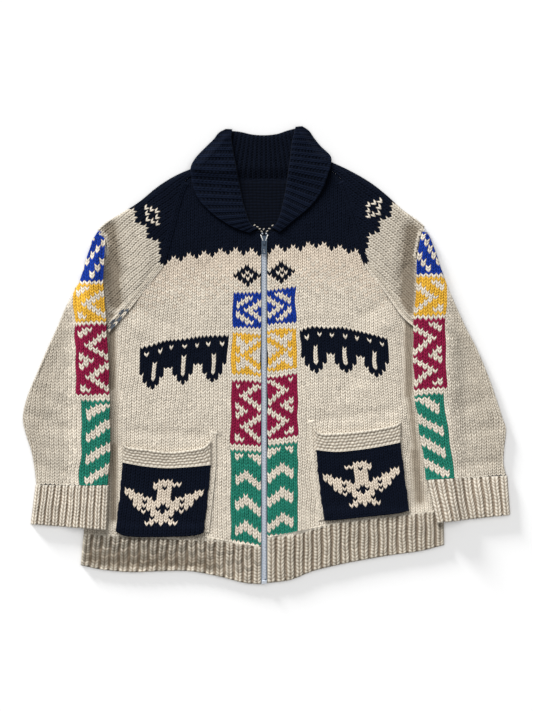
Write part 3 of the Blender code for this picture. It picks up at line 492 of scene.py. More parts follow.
def face_table(index):
    """Quads and triangles of a grid of vertex numbers, and each one's row and column."""
    a, b, c, d = index[:-1, :-1], index[:-1, 1:], index[1:, 1:], index[1:, :-1]
    low, high = a == b, d == c
    r, q = np.nonzero(~low & ~high)
    quads = np.stack([a[r, q], b[r, q], c[r, q], d[r, q]], -1)
    r1, q1 = np.nonzero(low & ~high)
    r2, q2 = np.nonzero(~low & high)
    tris = np.vstack([np.stack([a[r1, q1], c[r1, q1], d[r1, q1]], -1),
                      np.stack([a[r2, q2], b[r2, q2], c[r2, q2]], -1)])
    return quads, (r, q), tris, (np.concatenate([r1, r2]), np.concatenate([q1, q2]))


def ring_of(index):
    """Vertex numbers round a grid's rim, each once."""
    ring = np.concatenate([index[0, :-1], index[:-1, -1], index[-1, :0:-1], index[:0:-1, 0]])
    return ring[np.concatenate([[True], ring[1:] != ring[:-1]])]


def turned_in(points):
    """Unit steps from a closed rim's points to its inside."""
    step = np.roll(points, -2, axis=0) - np.roll(points, 2, axis=0)
    normal = np.column_stack([-step[:, 1], step[:, 0]])
    for _ in range(3):
        normal = (np.roll(normal, 1, axis=0) + normal + np.roll(normal, -1, axis=0)) / 3
    return normal / np.maximum(np.linalg.norm(normal, axis=1, keepdims=True), 1e-9)


def spread(rim, step):
    """Shares of the steps in from a closed rim that keep the inner ring from crossing itself."""
    share = np.ones(len(rim))
    for _ in range(8):
        a = rim + step * share[:, None]
        run = np.roll(a, -1, axis=0) - a
        apart = a[None] - a[:, None]
        turn = run[:, None, 0] * apart[..., 1] - run[:, None, 1] * apart[..., 0]
        cut = turn * np.roll(turn, -1, axis=1) < 0
        pairs = [pair for pair in np.argwhere(cut & cut.T) if pair[0] < pair[1]]
        if not pairs:
            break
        for i, j in pairs:
            near = [np.arange(i - 3, j + 5)] if j - i < 60 else [
                np.arange(i - 3, i + 5), np.arange(j - 3, j + 5)]
            share[np.concatenate(near) % len(rim)] *= 0.4
    return share


def put(name, data):
    """Makes an object and puts it into the scene."""
    made = bpy.data.objects.new(name, data)
    bpy.context.scene.collection.objects.link(made)
    return made


def mesh_of(name, verts, faces, tints, materials, crown=None):
    """Makes a smooth object from points in millimetres and a yarn colour for each face.

    Crown says how high on the yarn each point lies, from 0 to 1, and sets its painted shade.
    """
    mesh = bpy.data.meshes.new(name)
    mesh.from_pydata((verts * MM).tolist(), [], faces)
    crown = np.ones(len(verts)) if crown is None else crown
    sizes = [len(face) for face in faces]
    corner = np.array([number for face in faces for number in face])
    rgba = np.column_stack([np.repeat(tints, sizes, axis=0), crown[corner]])
    layer = mesh.color_attributes.new("yarn", "FLOAT_COLOR", "CORNER")
    layer.data.foreach_set("color", np.clip(rgba, 0, 1).astype(np.float32).ravel())
    mesh.shade_smooth()
    for material in materials:
        mesh.materials.append(bpy.data.materials[material])
    return put(name, mesh)


def lattice(cloth, rng):
    """Lattice of a piece's stitches, cut to its outline.

    Returns each point's place in the cloth, its stitch's column, row and kind, its place in the
    garment, and the column that it was moved to.
    """
    u = np.array([c + a for c in range(cloth.columns) for a in ACROSS] + [float(cloth.columns)])
    v = np.array([r + b for r in range(cloth.rows) for b in ALONG] + [float(cloth.rows)])
    u, v = np.meshgrid(u, v)
    column = np.minimum(u.astype(int), cloth.columns - 1)
    row = np.minimum(v.astype(int), cloth.rows - 1)
    kind = cloth.kind(column, row)
    slanted = (kind == KNIT) | (kind == ROPE)
    lean = np.where(slanted, np.abs(2 * (u - column) - 1), 1.0) - 0.5
    lean = lean * slanted.any() * np.clip(np.minimum(v, cloth.rows - v), 0, 1)
    x, y = cloth.place(u, v + SLANT * lean)
    if not cloth.clip:
        return u, v, column, row, kind, x, y, np.broadcast_to(np.arange(x.shape[1]), x.shape)
    x, y = drift(x, y, cloth.seed, SWAY)
    x, y = (x + UNEVEN * rng.standard_normal(x.shape), y + UNEVEN * rng.standard_normal(x.shape))
    keep, x, y, moved = clip_rows(x, y, np.vstack([line for line, _ in cloth.edges]))
    return (*(grid[keep] for grid in (u, v, column, row, kind)), x, y, moved)


def level_at(level, x, y):
    """A height for every place, from one number or from a function of the place."""
    return (level(x, y) if callable(level) else level) * np.ones_like(x)


def rim_rings(rim, inward, on_fold, ground):
    """Rings of points that lead a piece's rim down to its underside, round where it is a fold."""
    rings, top = [], rim[:, 2]
    for turn, rim_inset, fall in RIM_STEPS:
        a = math.radians(turn)
        inset = np.where(on_fold, FOLD * (1 - math.cos(a)), rim_inset)
        height = np.where(on_fold, np.minimum(top, ground + FOLD * (1 - math.sin(a))),
                          top + fall * (ground - top))
        rings.append(np.column_stack([rim[:, :2] + inward * inset[:, None], height]))
    return rings


def weave(cloth):
    """Makes a knitted piece; returns its object and its upper face's area and box."""
    s = bpy.context.scene.cardigan
    rng = np.random.default_rng(cloth.seed)
    u, v, column, row, kind, x, y, moved = lattice(cloth, rng)
    d_fold, d_rim, d_seam = (
        np.minimum.reduce([np.full(x.shape, 1e3)]
                          + [distance(line, x, y) for line, how in cloth.edges if how == end])
        for end in ("fold", "rim", "seam"))
    base, thick = level_at(cloth.lie, x, y), level_at(cloth.thick, x, y)
    double = thick.max() > WALL + 3

    crown = stitch_relief(kind, u, v, row)
    # Near seams and rims the crown is raised, which flattens the stitches and lightens their
    # painted shade
    crown = np.maximum(crown, 0.66 * (1 - ease(np.minimum(d_seam / 2.4, d_rim / 0.7))))
    lift = np.sin(np.pi * (u - column)) ** 0.35
    legs = np.abs(np.sin(2 * np.pi * (u - column))) ** 0.5
    ribs = np.choose(kind, [lift, -1.4 * lift, lift, 0.2 + 0.8 * legs]) * cloth.rib_rise
    ribs = ribs * s.rib_depth * (0.15 + 0.85 * ease(d_seam / 7))
    lively = 1 + 0.16 * rng.standard_normal((cloth.rows, cloth.columns))[row, column]
    fade = np.clip(np.minimum(d_fold / 3, d_rim / 1.5), 0.25, 1)
    from_edge = ease(np.minimum(d_fold / 5, d_rim / 9))
    fold_rise, valley = (rise * from_edge for rise in creased(x, y))
    z = base + thick - thick / 2 * (1 - rolled(d_fold / FOLD_ROLL)) * double
    z -= RIM_FALL * (1 - rolled(d_rim / RIM_ROLL))
    z += fade * (ribs - cloth.relief * s.stitch_depth * lively * (1 - crown))
    z += fold_rise
    z = np.maximum(z, base + (CAVITY_SHARE * thick + 0.5 if double else 0.3))

    index = np.take_along_axis(np.arange(x.size).reshape(x.shape), moved, axis=1)
    verts = np.column_stack([x.ravel(), y.ravel(), z.ravel()])
    quads, quad_at, tris, tri_at = face_table(index)
    colours = cells_of(cloth.chart, cloth.columns, cloth.rows, cloth.seed + 1)
    # Painted shade: the yarn darkens and warms in the trough of the deepest crease
    painted_shade = np.clip(1 - CREASE_SHADE * valley ** 2 - VALLEY_SHADE * valley ** 4, DARKEST_SHADE, 1)
    painted_shade = painted_shade[..., None] ** SHADE_WARMTH
    quad_colour, tri_colour = (colours[row[at], column[at]] * painted_shade[at] for at in (quad_at, tri_at))

    ring = ring_of(index)
    area = area_of(verts[ring])
    if area < 0:
        quads, tris, ring = quads[:, ::-1], tris[:, ::-1], ring[::-1]
    rim, row_at, column_at = verts[ring], row.ravel()[ring], column.ravel()[ring]
    corners = verts[[index[0, 0], index[0, -1], index[-1, 0], index[-1, -1]], :2]
    apart = np.linalg.norm(rim[:, None, :2] - corners[None], axis=2).min(axis=1)
    inward = turned_in(rim[:, :2]) * np.clip(apart / 12, 0.05, 1)[:, None]
    on_fold = (d_fold < np.minimum(d_rim, d_seam)).ravel()[ring]
    inward *= spread(rim[:, :2], inward * np.where(on_fold, FOLD, 0.7)[:, None])[:, None]
    steps = len(RIM_STEPS)
    loops = [ring] + [len(verts) + k * len(ring) + np.arange(len(ring)) for k in range(steps)]
    verts = np.vstack([verts] + rim_rings(rim, inward, on_fold, base.ravel()[ring]))
    skirts = np.vstack([np.stack([one, other, np.roll(other, -1), np.roll(one, -1)], -1)
                        for one, other in zip(loops, loops[1:])])
    # Purl columns of a ribbing get a lower crown, which paints deeper shade into them
    deep = 0.1 if (kind == ROPE).any() else 0.5
    sunk = np.where((kind == PURL) & (cloth.rib_rise > 0), deep, 1.0)
    from_ends = np.minimum(np.minimum(d_fold, d_rim), d_seam)
    inner = (u == column) & (v == row) & (from_ends > 9)
    plan = np.column_stack([x[inner], y[inner], base[inner]])
    under, spot = underside(loops[-1], verts, plan)
    beneath = cells_of(cloth.under or cloth.chart, cloth.columns, cloth.rows, cloth.seed + 1)
    near_row, near_column = np.append(row[inner], row_at), np.append(column[inner], column_at)
    under_colour = beneath[near_row, near_column][spot]

    verts = np.vstack([verts, plan])
    # Crown of each point, from which the wool paints shade into the hollows; rim rings and
    # underside points take a middle value
    depth = np.concatenate([np.clip(crown * sunk, 0, 1).ravel(),
                            np.full(steps * len(ring) + len(plan), 0.6)])
    faces = quads.tolist() + skirts.tolist() + tris.tolist()
    below = slice(len(faces), len(faces) + len(under))
    faces += under
    tints = np.vstack([quad_colour, np.tile(colours[row_at, column_at], (steps, 1)), tri_colour,
                       under_colour])
    if double:
        hollow, hollow_faces = cavity(x, y, base + CAVITY_SHARE * thick, moved, len(verts))
        verts = np.vstack([verts, hollow])
        depth = np.concatenate([depth, np.full(len(hollow), 0.5)])
        faces += hollow_faces
        tints = np.vstack([tints, np.repeat(tints[-1:], len(hollow_faces), 0)])
    made = mesh_of(cloth.name, verts, faces, tints, ("wool", "wool_underside"), depth)
    held = np.zeros(len(verts), bool)
    held[ring[d_seam.ravel()[ring] < 0.5]] = True
    ends = np.zeros(2 * len(made.data.edges), int)
    made.data.edges.foreach_get("vertices", ends)
    sharp = made.data.attributes.new("sharp_edge", "BOOLEAN", "EDGE")
    sharp.data.foreach_set("value", held[ends.reshape(-1, 2)].all(axis=1))
    for face in made.data.polygons[below]:
        face.material_index = 1
        face.use_smooth = False
    return made, abs(area), np.ptp(rim[:, :2], axis=0)


def underside(ring, verts, plan):
    """Faces that close a piece below, through points inside it, and a point of each.

    Of these points, the inner ones are counted first and the ring's after them.
    """
    flat = [Vector(p[:2]) for p in plan] + [Vector(p[:2]) for p in verts[ring]]
    number = np.append(len(verts) + np.arange(len(plan)), ring)
    outline = list(range(len(plan), len(flat)))
    _, _, faces, origin, _, _ = delaunay_2d_cdt(flat, [], [outline], 1, 1e-5)
    if len(origin) != len(flat) or any(len(one) != 1 for one in origin):
        return [ring[::-1].tolist()], [len(plan)]
    made = [[origin[k][0] for k in face] for face in faces]
    return [number[face[::-1]].tolist() for face in made], [min(face) for face in made]


def cavity(x, y, middle, moved, start):
    """Inner face of cloth that lies double: a thin closed hollow inside the piece."""
    rows = np.unique(np.linspace(0, len(x) - 1, 24).astype(int)[1:-1])
    low, high = moved[rows].min(axis=1), moved[rows].max(axis=1)
    at = low[:, None] + np.linspace(0.1, 0.9, 7)[None] * (high - low)[:, None]
    at = (np.round(at / len(ACROSS)) * len(ACROSS)).astype(int)
    at = np.clip(at, low[:, None] + 1, np.maximum(high - 1, low + 1)[:, None])
    rows = rows[:, None]
    plan = np.stack([x[rows, at], y[rows, at]], -1)
    level = middle[rows, at][..., None]
    high = np.concatenate([plan, level + GAP / 2], axis=2)
    low = np.concatenate([plan, level - GAP / 2], axis=2)
    top = np.arange(level.size).reshape(level.shape[:2]) + start
    base = top + top.size
    faces = []
    for number, way in ((top, -1), (base, 1)):
        faces += face_table(number)[0][:, ::way].tolist()
    up, down = ring_of(top), ring_of(base)
    faces += np.stack([up, np.roll(up, -1), np.roll(down, -1), down], -1).tolist()
    return np.vstack([high.reshape(-1, 3), low.reshape(-1, 3)]), faces


def dress(woven, node):
    """Makes a piece stand for its solid: puts it with the garment and hides the solid.

    Layers says how many times what shows the whole cut is.
    """
    made, area, (width, length) = woven
    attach(made, "garment")
    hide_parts(node)


# ---- charts

STAR = (
    "1001001",
    "1100011",
    "0110110",
    "0011110",
    "1001100",
    "1100100",
    "1110011",
    "1100100",
    "1001100",
    "0011110",
    "0110110",
    "1100011",
    "1001001",
)
BIRD = (
    "0000000011100000000",
    "0000000111111000000",
    "0000000110100000000",
    "0000000011100000000",
    "0110000011100000110",
    "0111100011100011110",
    "0011111011101111100",
    "0001101111111011000",
    "0001111110111111000",
    "0000101100011010000",
    "0000010110110100000",
    "0000000111110000000",
    "0000000011100000000",
    "0000000111110000000",
    "0000001101011000000",
)


def marks(rows, column, row):
    """Whether a cell of a small chart, first row on top, is marked."""
    cells = np.array([[mark == "1" for mark in line] for line in rows])
    inside = (column >= 0) & (column < cells.shape[1]) & (row >= 0) & (row < cells.shape[0])
    r = np.clip(cells.shape[0] - 1 - row, 0, cells.shape[0] - 1)
    return cells[r, np.clip(column, 0, cells.shape[1] - 1)] & inside


def tooth(column):
    """Rows by which the yoke's lower edge rises in each column of a four-stitch tooth."""
    return np.choose(column % 4, [0, 1, 2, 1])


def banded(made, column, row, bands, plain=False):
    """Draws bands: lowest and highest row, yarn, the ground's marked cells, columns across."""
    for low, high, yarn, ground, wide in bands:
        rim = (row == low) | (row == high) | (column == wide - 1)
        filled = ground | rim | plain
        made[(column < wide) & (row >= low) & (row <= high) & filled] = yarn


def front_chart(column, row):
    """Colours of a front, counted from the zip and from the ribbing: stepped bands and yoke."""
    chart = np.full(column.shape, CREAM)
    chart[(column * 5 + row * 3) % 7 < (row - BODY_ROWS + 16) / 2] = ROSE
    pine = (row + np.abs(column - 3)) % 8
    banded(chart, column, row, (
        (1, 29, GREEN, pine < 5, 7),
        (32, 51, CRIMSON, (np.abs((row - 32) % 10 - 5) + column) % 5 < 3, 7),
        (54, 66, YELLOW, ~marks(STAR, column, row - 54), 7),
        (69, 79, BLUE, (np.abs(row - 74) + column) % 4 < 2, 7)))
    peak = np.abs(column - 3) + np.abs(row - 85)
    chart[(peak <= 3) & (peak != 1)] = NAVY
    off = np.abs((column - 8) % 7 - 3)
    comb = (row >= np.choose(off, [51, 52, 54, 57])) & (row < 66)
    light = ((off == 0) & (row >= 54) & (row < 60)) | ((row == 63) & (column % 3 == 0))
    chart[(column >= 8) & (column < 29) & comb & ~light] = NAVY
    chart[row >= BODY_ROWS + tooth(column)] = NAVY
    return chart


def only(number):
    """A chart of one yarn, or of one kind of stitch."""
    return lambda column, row, *_: np.full(column.shape, number)


def ribbed(column, row):
    """Ribbing: a column of knit stitches and a column of purl stitches in turn."""
    return np.where(column % 2 == 0, KNIT, PURL)


def roped(column, row):
    """Deep ribbing, whose knit columns show their two legs as ropes."""
    return np.where(column % 2 == 0, ROPE, PURL)


def shaded_ribbing(column, row):
    """Ribbing whose yarn darkens as painted shade towards the side seam."""
    return np.where((column // 2 * 3 + row * 5) % 7 < 5 - column / 9, DEEP_SHADED_CREAM, GREYER_SHADED_CREAM)


# ---- body

# Y of the middle of the hem's line and of its edge, and the back's rim as insets and heights
HEM_MIDDLE = -300
HEM_FOOT = -365
BACK_RIM = ((1.6, 0.0), (0.3, 1.2), (0.0, 2.6), (0.5, 4.0), (0.8, 4.4))


def line_height(table, way, x):
    """Y of a table's line at places across the garment; way is 1 or -1, the side's sign."""
    line = np.array(sorted(smooth(table, 80).tolist(), key=lambda p: way * p[0]))
    return np.interp(way * x, way * line[:, 0], line[:, 1])


def front_place(side):
    """Where a front's stitches lie: columns from the zip, rows from the ribbing to the yoke."""
    edge = ZIP_X + side.sign * ZIP_GAP

    def place(u, v):
        level = np.clip((v / BODY_ROWS - 0.45) / 0.55, 0, 1)
        x = edge + side.sign * u * (STITCH_AT_HEM + level * (STITCH_AT_YOKE - STITCH_AT_HEM))
        low, high = (line_height(table, side.sign, x) for table in (side.hem_line, side.yoke_line))
        return x, low - 1.6 + v / BODY_ROWS * (high - low + 1.6)

    return place


def front_edges(side):
    """A front's side seam and raglan, its neck under the lapel, its zip edge and its foot."""
    rows = np.array([row[:4] for row in side.lapel[5::-1]], float)
    neck = rows[:, :2] + 0.92 * (rows[:, 2:] - rows[:, :2])
    edge = ZIP_X + side.sign * ZIP_GAP
    raglan = smooth(side.raglan, 50)[::-1] - (side.sign * GAP / 2, 0)
    seam = smooth(side.side_seam, 20)[:-1] - (side.sign * GAP / 2, 0)
    top = smooth([raglan[-1], *neck, (edge, ZIP_TOP + 5)], 40)
    foot = smooth(side.hem_line, 40)[::-1] + (0, GAP / 2 - 0.3)
    return [(np.vstack([seam, raglan]), "rim"), (top, "rim"),
            (np.array([(edge, ZIP_TOP + 5), foot[0]]), "rim"), (foot, "seam")]


def make_front(side):
    """One front, whole under its lapel, sleeve and pocket."""
    cloth = Cloth(f"{side.name}_front", BODY_COLUMNS, BODY_ROWS + ROWS_ABOVE, front_place(side),
                  front_edges(side), FRONT_BASE, WALL, only(KNIT), front_chart, clip=True,
                  relief=2.3, seed=11 + (side is LEFT))
    dress(weave(cloth), f"front_{side.name}")


def make_welt(name, node, line, edge, columns, phase, scallop, rests_on, **knit):
    """A ribbed welt from a line down to its own edge."""
    def place(u, v):
        v = scalloped(u, v, WELT_ROWS) if scallop else v
        u, v = swayed(u, v, columns, WELT_ROWS, phase)
        across = rib_run(u, DEEP_SWELL) / rib_run(columns, DEEP_SWELL)
        return between(at_share(edge, across), at_share(line, across), v / WELT_ROWS)

    edges = four_edges(line, edge, "seam rim rim rim")
    cloth = Cloth(name, columns, WELT_ROWS, place, edges, kind=roped, **knit)
    dress(weave(cloth), node)


def make_hem(side):
    """Welt of one front, which thins towards its edge."""
    line = smooth(side.hem_line, 60) - (0, GAP / 2)
    make_welt(f"{side.name}_hem", f"hem_{side.name}", line, smooth(side.hem_edge, 60), 37,
              side.sign, True, ["hem_back"], lie=FRONT_BASE,
              thick=lambda x, y: WALL + 0.7 - 2.4 * ease(distance(line, x, y) / 58),
              # The hems' yarn is a greyer cream darkened as painted shade, deeper near the right
              # hem's side seam
              chart=shaded_ribbing if side is RIGHT else only(GREYER_SHADED_CREAM), rib_rise=1.5,
              relief=2.0, seed=21 + (side is LEFT))


def back_line(right, left, middle_y):
    """One line across the back from the lines of the two sides."""
    return smooth(list(right[:-1]) + [Point(ZIP_X, middle_y)] + list(left[-2::-1]), 120)


def back_outline():
    """The back's outline, from its foot round both raglans and the neck."""
    right, left = (np.vstack([smooth(side.side_seam, 12)[:-1], smooth(side.raglan, 40)[::-1]])
                   - (side.sign * GAP / 2, 0) for side in (RIGHT, LEFT))
    foot = back_line(HEM_LINE_RIGHT, HEM_LINE_LEFT, HEM_MIDDLE) + (0, GAP / 2)
    outline = np.vstack([foot[::-1], right, smooth(BACK_NECK, 60), left[::-1]])
    return outline if area_of(outline) > 0 else outline[::-1]


def back_chart(column, row):
    """Colours of the back: cream with a navy yoke, as on the fronts."""
    return np.where(row >= BODY_ROWS + tooth(column), NAVY, CREAM)


def make_back():
    """The back: an underside with the yoke's colours, and rolled rims."""
    line = back_line(HEM_LINE_RIGHT, HEM_LINE_LEFT, HEM_MIDDLE)
    yoke = np.array(list(YOKE_LINE_RIGHT) + list(YOKE_LINE_LEFT[-2::-1]), float)
    columns, rows = 86, BODY_ROWS + ROWS_ABOVE
    outline = back_outline()
    run = np.append(0, np.cumsum(np.linalg.norm(np.roll(outline, -1, axis=0) - outline, axis=1)))
    at = np.arange(0, run[-1] - 2, 4.0)
    rim = np.column_stack([np.interp(at, run, np.append(outline[:, k], outline[0, k]))
                           for k in (0, 1)])
    inward = turned_in(rim)
    inward *= spread(rim, inward * BACK_RIM[0][0])[:, None]
    n = len(rim)
    verts = np.vstack([np.column_stack([rim + inward * inset, np.full(n, height)])
                       for inset, height in BACK_RIM])
    loops = [k * n + np.arange(n) for k in range(len(BACK_RIM))]
    skirts = np.vstack([np.stack([one, np.roll(one, -1), np.roll(other, -1), other], -1)
                        for one, other in zip(loops, loops[1:])])
    u, v = (grid.ravel() for grid in np.meshgrid(np.arange(columns), np.arange(rows)))
    x = ZIP_X + (u - columns / 2) * BACK_STITCH
    low = np.interp(x, line[:, 0], line[:, 1]) + GAP / 2
    y = low + v / BODY_ROWS * (np.interp(x, yoke[:, 0], yoke[:, 1]) - low)
    held = within(outline, x, y) & (distance(np.vstack([outline, outline[:1]]), x, y) > 4)
    plan = np.column_stack([x, y, 0 * x])[held]
    under, spot = underside(loops[0], verts, plan)
    yarn = cells_of(back_chart, columns, rows, 31)[v, u]
    rim_yarn = palette()[np.where(rim[:, 1] > 150, NAVY, CREAM)]
    faces = skirts.tolist() + under + [loops[-1].tolist()]
    tints = np.vstack([np.tile(rim_yarn, (len(BACK_RIM) - 1, 1)),
                       np.vstack([yarn[held], rim_yarn])[spot], palette()[[NAVY]]])
    made = mesh_of("body_back", np.vstack([verts, plan]), faces, tints, ["wool_underside"])
    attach(made, "garment")
    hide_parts("back")


def make_inner_back():
    """Purl side of the back's yoke, seen in the neck between the lapels."""
    left, right, foot = -72, 66, 196

    def place(u, v):
        return left - 1 + u * INSIDE_STITCH, foot - 2 + v * INSIDE_ROW

    neck = smooth(BACK_NECK, 40)
    neck = neck[(neck[:, 0] > left) & (neck[:, 0] < right)]
    seam = np.array([neck[-1], (right, foot), (left, foot), neck[0]])
    edges = [(neck, "rim"), (seam, "seam")]
    # The small rib rise gives the purl stitches the deeper painted shade that stands for the
    # collar's shadow
    cloth = Cloth("inside_back", 22, 18, place, edges, 4.0, 1.6, only(PURL), only(NAVY),
                  clip=True, rib_rise=0.01, relief=0.9, seed=33)
    made = weave(cloth)[0]
    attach(made, "garment")


def make_hem_back():
    """Welt of the back, in line with those of the fronts."""
    line = back_line(HEM_LINE_RIGHT, HEM_LINE_LEFT, HEM_MIDDLE) - (0, GAP / 2)
    make_welt("back_hem", "hem_back", line, back_line(HEM_EDGE_RIGHT, HEM_EDGE_LEFT, HEM_FOOT), 75,
              # The back hem's yarn is the greyer cream with painted shade
              2.0, False, [], lie=0.0, thick=WALL, chart=only(GREYER_SHADED_CREAM), rib_rise=0.4, relief=1.0,
              seed=41)


# ---- sleeves

# How far a cap's rows reach down the arm from the neck, and its columns outside that line
CAP_RUN = 343.25
CAP_OUTSIDE = 36


def cap_edges(side):
    """A cap's raglan and its outer fold, which meet under the arm."""
    fold = np.vstack([smooth(side.cap_folds[:7], 50)[:-1], np.array(side.cap_folds[6:], float)])
    seam = smooth(side.raglan, 50)
    seam = seam[seam[:, 1] > side.cap_folds[-1].y] + (side.sign * GAP, GAP / 3)
    return [(seam[::-1], "rim"), (fold, "fold")]


def make_cap(side):
    """The part of a sleeve that lies on the shoulder; its rows cross the arm on a slant."""
    start = np.array([side.sign * side.raglan[0].x, side.raglan[0].y])
    down, inside = np.array([0.8, -0.6]), np.array([-0.6, -0.8])

    def place(u, v):
        run = CAP_RUN - v * SLEEVE_ROW
        aside = u * SLEEVE_STITCH - CAP_OUTSIDE
        bend = 0.0009 * np.clip(run - 90, 0, None) ** 2
        x = start[0] + run * down[0] + aside * inside[0] - 0.45 * bend
        y = start[1] + run * down[1] + aside * inside[1] - 0.3 * bend
        return side.sign * x, y

    edge = 42 if side is RIGHT else 43

    def unmarked(column, row):
        # The cap's cream is darkened as painted shade
        return np.where(row >= edge + tooth(column), NAVY, DARKER_CREAM)

    def chart(column, row):
        mark = (np.abs(column - 5) + np.abs(row - edge - 5)) == 2
        return np.where(mark, CREAM, unmarked(column, row))

    cloth = Cloth(f"{side.name}_sleeve_cap", 20, 71, place, cap_edges(side), 0.0, DOUBLE + 1.4,
                  only(KNIT), chart, clip=True, relief=2.3, seed=51 + (side is LEFT),
                  under=unmarked)
    dress(weave(cloth), f"sleeve_upper_{side.name}")


def draped(side, px, perch, shelf, outer):
    """Height of what a sleeve lies on: its perch, then down to the ground past the body."""
    past = side.sign * (px - shelf) - SHELF_MARGIN
    room = np.maximum(side.sign * (outer - shelf) - SHELF_MARGIN - FOLD, LEAST_DROP)
    return perch * (1 - ease(past / np.minimum(SLEEVE_DROP, room)))


def sleeve_chart(column, row, plain=False):
    """Stepped bands down the top of the arm, mirrored and plain past the sleeve's inner fold."""
    # Cream darkens in scattered stitches towards the outer fold as painted shade
    made = np.where((column * 5 + row * 3) % 7 < 2 * (column - 6), DARKER_CREAM, CREAM)
    bands = ((0, 26, GREEN, (row + column) % 7 < 4, 6),
             (29, 50, CRIMSON, (np.abs((row - 29) % 10 - 5) + column) % 5 < 3, 7),
             (52, 63, YELLOW, (np.abs(row - 57) + column) % 5 < 3, 7),
             (65, 90, BLUE, (row + 2 * column) % 6 < 4, 9))
    banded(made, column, row, bands, plain)
    return made


def make_sleeve(side):
    """The stretch of a sleeve that is folded down beside the body."""
    dense = along(side.sleeve, np.linspace(0, 1, 90))
    inner, outer, foot = dense[:, :2], dense[:, 2:4], dense[-1]
    upward = np.array(side.sleeve, float)[::-1]

    def place(u, v):
        share = np.clip(u * SLEEVE_STITCH / 130, 0, 1)
        y = foot[1] + share * (foot[3] - foot[1]) + v * SLEEVE_ROW - 2.8
        lean = 0.13 * np.clip((u - 6) / 8, 0, 1.3) * np.where(y > -100, y + 100, -0.6 * (y + 100))
        x = np.interp(y, inner[::-1, 1], inner[::-1, 0])
        return x + side.sign * (u * SLEEVE_STITCH - lean), y

    def lie(px, py):
        perch, shelf, outer_x = (np.interp(py, upward[:, 1], upward[:, k]) for k in (4, 5, 2))
        return draped(side, px, perch, shelf, outer_x)

    edges = [(inner[::-1], "fold"), (dense[:1, :4].reshape(2, 2), "rim"), (outer, "fold"),
             (np.array([outer[-1], inner[-1]]) - (0, 0.95), "seam")]
    cloth = Cloth(f"{side.name}_sleeve", 21, side.sleeve_rows, place, edges, lie, DOUBLE + 1.2,
                  only(KNIT), sleeve_chart, clip=True, relief=2.3, seed=61 + (side is LEFT),
                  under=lambda column, row: sleeve_chart(column, row, True))
    dress(weave(cloth), f"sleeve_lower_{side.name}")


def make_cuff(side):
    """Ribbed cuff, folded flat as the sleeve is."""
    top, end = np.array(side.cuff_top, float), np.array(side.cuff_end, float)
    columns = 21 if side is RIGHT else 17

    def place(u, v):
        u, v = swayed(u, scalloped(u, v, WELT_ROWS), columns, WELT_ROWS, 4 + side.sign)
        row = top[:4] + (1 - v / WELT_ROWS)[..., None] * (end[:4] - top[:4])
        across = rib_run(u, DEEP_SWELL) / rib_run(columns, DEEP_SWELL)
        return between(row[..., :2], row[..., 2:], across)

    def lie(px, py):
        t = np.clip((top[1] - py) / (top[1] - end[1]), 0, 1)
        return draped(side, px, *(top[k] + t * (end[k] - top[k]) for k in (4, 5, 2)))

    edges = four_edges(top[:4].reshape(2, 2), end[:4].reshape(2, 2), "seam fold rim fold")
    cloth = Cloth(f"{side.name}_cuff", columns, WELT_ROWS, place, edges, lie, DOUBLE + 0.6, roped,
                  only(CREAM), rib_rise=1.3, relief=1.9, seed=71 + (side is LEFT))
    dress(weave(cloth), f"cuff_{side.name}")


def make_braid(name, line, shift, height, chart, seed):
    """Raised cord of two stitch columns beside a line.

    Its chart takes the place along it and the place in the garment.
    """
    ahead = np.gradient(line, axis=0)
    across = np.column_stack([-ahead[:, 1], ahead[:, 0]])
    across /= np.linalg.norm(across, axis=1, keepdims=True)
    line = line + shift * across
    length = np.linalg.norm(np.diff(line, axis=0), axis=1).sum()
    rows = round(length / BRAID_ROW)

    def place(u, v):
        side_step = (u - 1)[..., None] * BRAID_HALF * at_share(across, v / rows)
        return xy(at_share(line, v / rows) + side_step)

    def cells(column, row):
        return chart(column, row, np.interp(row / rows, np.linspace(0, 1, len(line)), line[:, 1]))

    edges = four_edges(line - BRAID_HALF * across, line + BRAID_HALF * across, "rim rim rim rim")
    cloth = Cloth(name, 2, rows, place, edges, height, BRAID_THICK, only(KNIT), cells,
                  relief=2.5, seed=seed)
    made, area, _ = weave(cloth)
    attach(made, "garment")


def make_raglan_braid(side):
    """Raised seam along a raglan, in the yoke's yarn above and mended low on the right."""
    def chart(column, row, y):
        mended = (y < 75) & ((row * 5 + column * 3) % 7 < 4) & (side is RIGHT)
        # The column by the cap takes the greyer cream as painted shade
        shaded = column == int(side is LEFT)
        return np.where(y > 146, NAVY, np.where(mended, GREY, np.where(shaded, GREYER_SHADED_CREAM, CREAM)))

    make_braid(f"{side.name}_raglan_seam", smooth(side.raglan, 90)[8:82], -side.sign * 2.6, 8.9,
               chart, 55 + (side is LEFT))


# ---- collar


